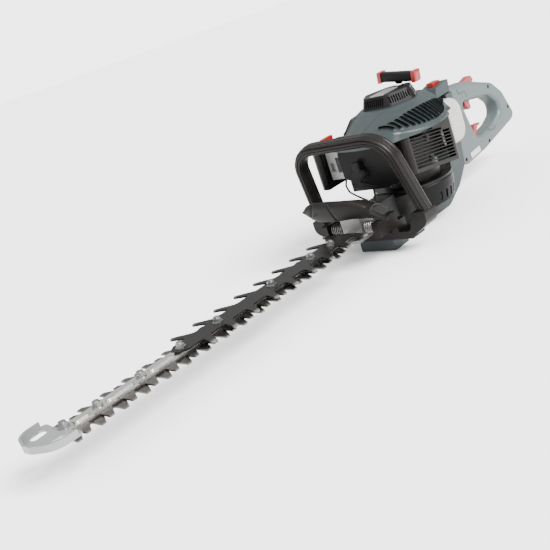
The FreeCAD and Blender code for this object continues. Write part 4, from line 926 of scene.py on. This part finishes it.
class TRIMMER_OT_stage(bpy.types.Operator):
    """Pale floor, soft lamps and the camera"""

    bl_idname = "trimmer.stage"
    bl_label = "Stage"

    def light_room(self, tree, strength):
        """What the camera sees is an even white; what lights the trimmer is the shaded room."""
        seen = tree.nodes["Background"]
        seen.inputs["Color"].default_value = (1, 1, 1, 1)
        seen.inputs["Strength"].default_value = SEEN_ROOM
        lit = put(tree, "ShaderNodeBackground")
        tree.links.new(times(tree, room_shade(tree), strength), lit.inputs["Strength"])
        path = put(tree, "ShaderNodeLightPath")
        both = put(tree, "ShaderNodeMixShader")
        tree.links.new(path.outputs["Is Camera Ray"], both.inputs[0])
        tree.links.new(lit.outputs[0], both.inputs[1])
        tree.links.new(seen.outputs[0], both.inputs[2])
        tree.links.new(both.outputs[0], tree.nodes["World Output"].inputs["Surface"])

    def lay_floor(self, scene, half):
        """A wide matt floor just below the feet."""
        corners = [(x, y, FLOOR_Z) for x, y in ((-half, -half), (half, -half), (half, half), (-half, half))]
        mesh = bpy.data.meshes.new("floor")
        mesh.from_pydata(corners, [], [(0, 1, 2, 3)])
        floor = bpy.data.objects.new("floor", mesh)
        scene.collection.objects.link(floor)
        pale = bpy.data.materials.new("pale_floor")
        pale.use_nodes = True
        shader = pale.node_tree.nodes["Principled BSDF"]
        shader.inputs["Base Color"].default_value = FLOOR_COLOR
        shader.inputs["Roughness"].default_value = 0.8
        mesh.materials.append(pale)

    def hang_lamp(self, scene, name, toward, spread, power):
        """A distant lamp shining along a direction, as soft as its spread in degrees."""
        lamp = bpy.data.lights.new(name, "SUN")
        lamp.angle = math.radians(spread)
        lamp.energy = power
        holder = bpy.data.objects.new(name, lamp)
        holder.rotation_euler = Vector(toward).to_track_quat("-Z", "Y").to_euler()
        scene.collection.objects.link(holder)

    def set_camera(self, scene, lens):
        """The camera in front of the blade, looking back along the machine."""
        camera = bpy.data.cameras.new("camera")
        camera.lens = lens
        camera.sensor_width = 36
        camera.clip_end = 200
        holder = bpy.data.objects.new("camera", camera)
        right, up = Vector(CAMERA_RIGHT), Vector(CAMERA_UP)
        turn = Matrix((right, up, right.cross(up))).transposed()
        holder.matrix_world = Matrix.Translation(CAMERA_AT) @ turn.to_4x4()
        scene.collection.objects.link(holder)
        scene.camera = holder

    def execute(self, context):
        scene = context.scene
        settings = scene.trimmer_stage
        self.lay_floor(scene, settings.floor_size / 2)
        world = bpy.data.worlds.new("soft_room")
        world.use_nodes = True
        self.light_room(world.node_tree, settings.sky)
        scene.world = world
        self.hang_lamp(scene, "key", (-0.05, 0.85, -0.72), 32, settings.key_power)
        self.hang_lamp(scene, "fill", (0.9, 0.1, -0.7), 60, settings.fill_power)
        self.set_camera(scene, settings.lens)
        return {"FINISHED"}


# ---------------------------------------------------------------- panel and run

STEPS = [TRIMMER_OT_finishes, TRIMMER_OT_shroud, TRIMMER_OT_loop, TRIMMER_OT_guard, TRIMMER_OT_handle,
         TRIMMER_OT_springs, TRIMMER_OT_cables, TRIMMER_OT_edges, TRIMMER_OT_stage]


class TRIMMER_PT_panel(bpy.types.Panel):
    """Lists the settings and the pieces"""

    bl_idname = "TRIMMER_PT_panel"
    bl_label = "Hedge trimmer"
    bl_space_type = "VIEW_3D"
    bl_region_type = "UI"
    bl_category = "Hedge trimmer"

    def draw(self, context):
        column = self.layout.column()
        for settings in (getattr(context.scene, name) for name in GROUPED):
            for key in settings.bl_rna.properties.keys():
                if key not in ("rna_type", "name"):
                    column.prop(settings, key)
        for step in STEPS:
            column.operator(step.bl_idname)


CLASSES = [FinishSettings, StageSettings, ShroudSettings, LoopSettings, *STEPS, TRIMMER_PT_panel]
GROUPED = {"trimmer_finish": FinishSettings, "trimmer_stage": StageSettings, "trimmer_shroud": ShroudSettings,
           "trimmer_loop": LoopSettings}


def register():
    for item in CLASSES:
        bpy.utils.register_class(item)
    for name, kind in GROUPED.items():
        setattr(bpy.types.Scene, name, PointerProperty(type=kind))


def unregister():
    for name in GROUPED:
        delattr(bpy.types.Scene, name)
    for item in reversed(CLASSES):
        bpy.utils.unregister_class(item)


def main():
    register()
    for step in STEPS:
        area, name = step.bl_idname.split(".")
        getattr(getattr(bpy.ops, area), name)()


if __name__ == "__main__":
    main()
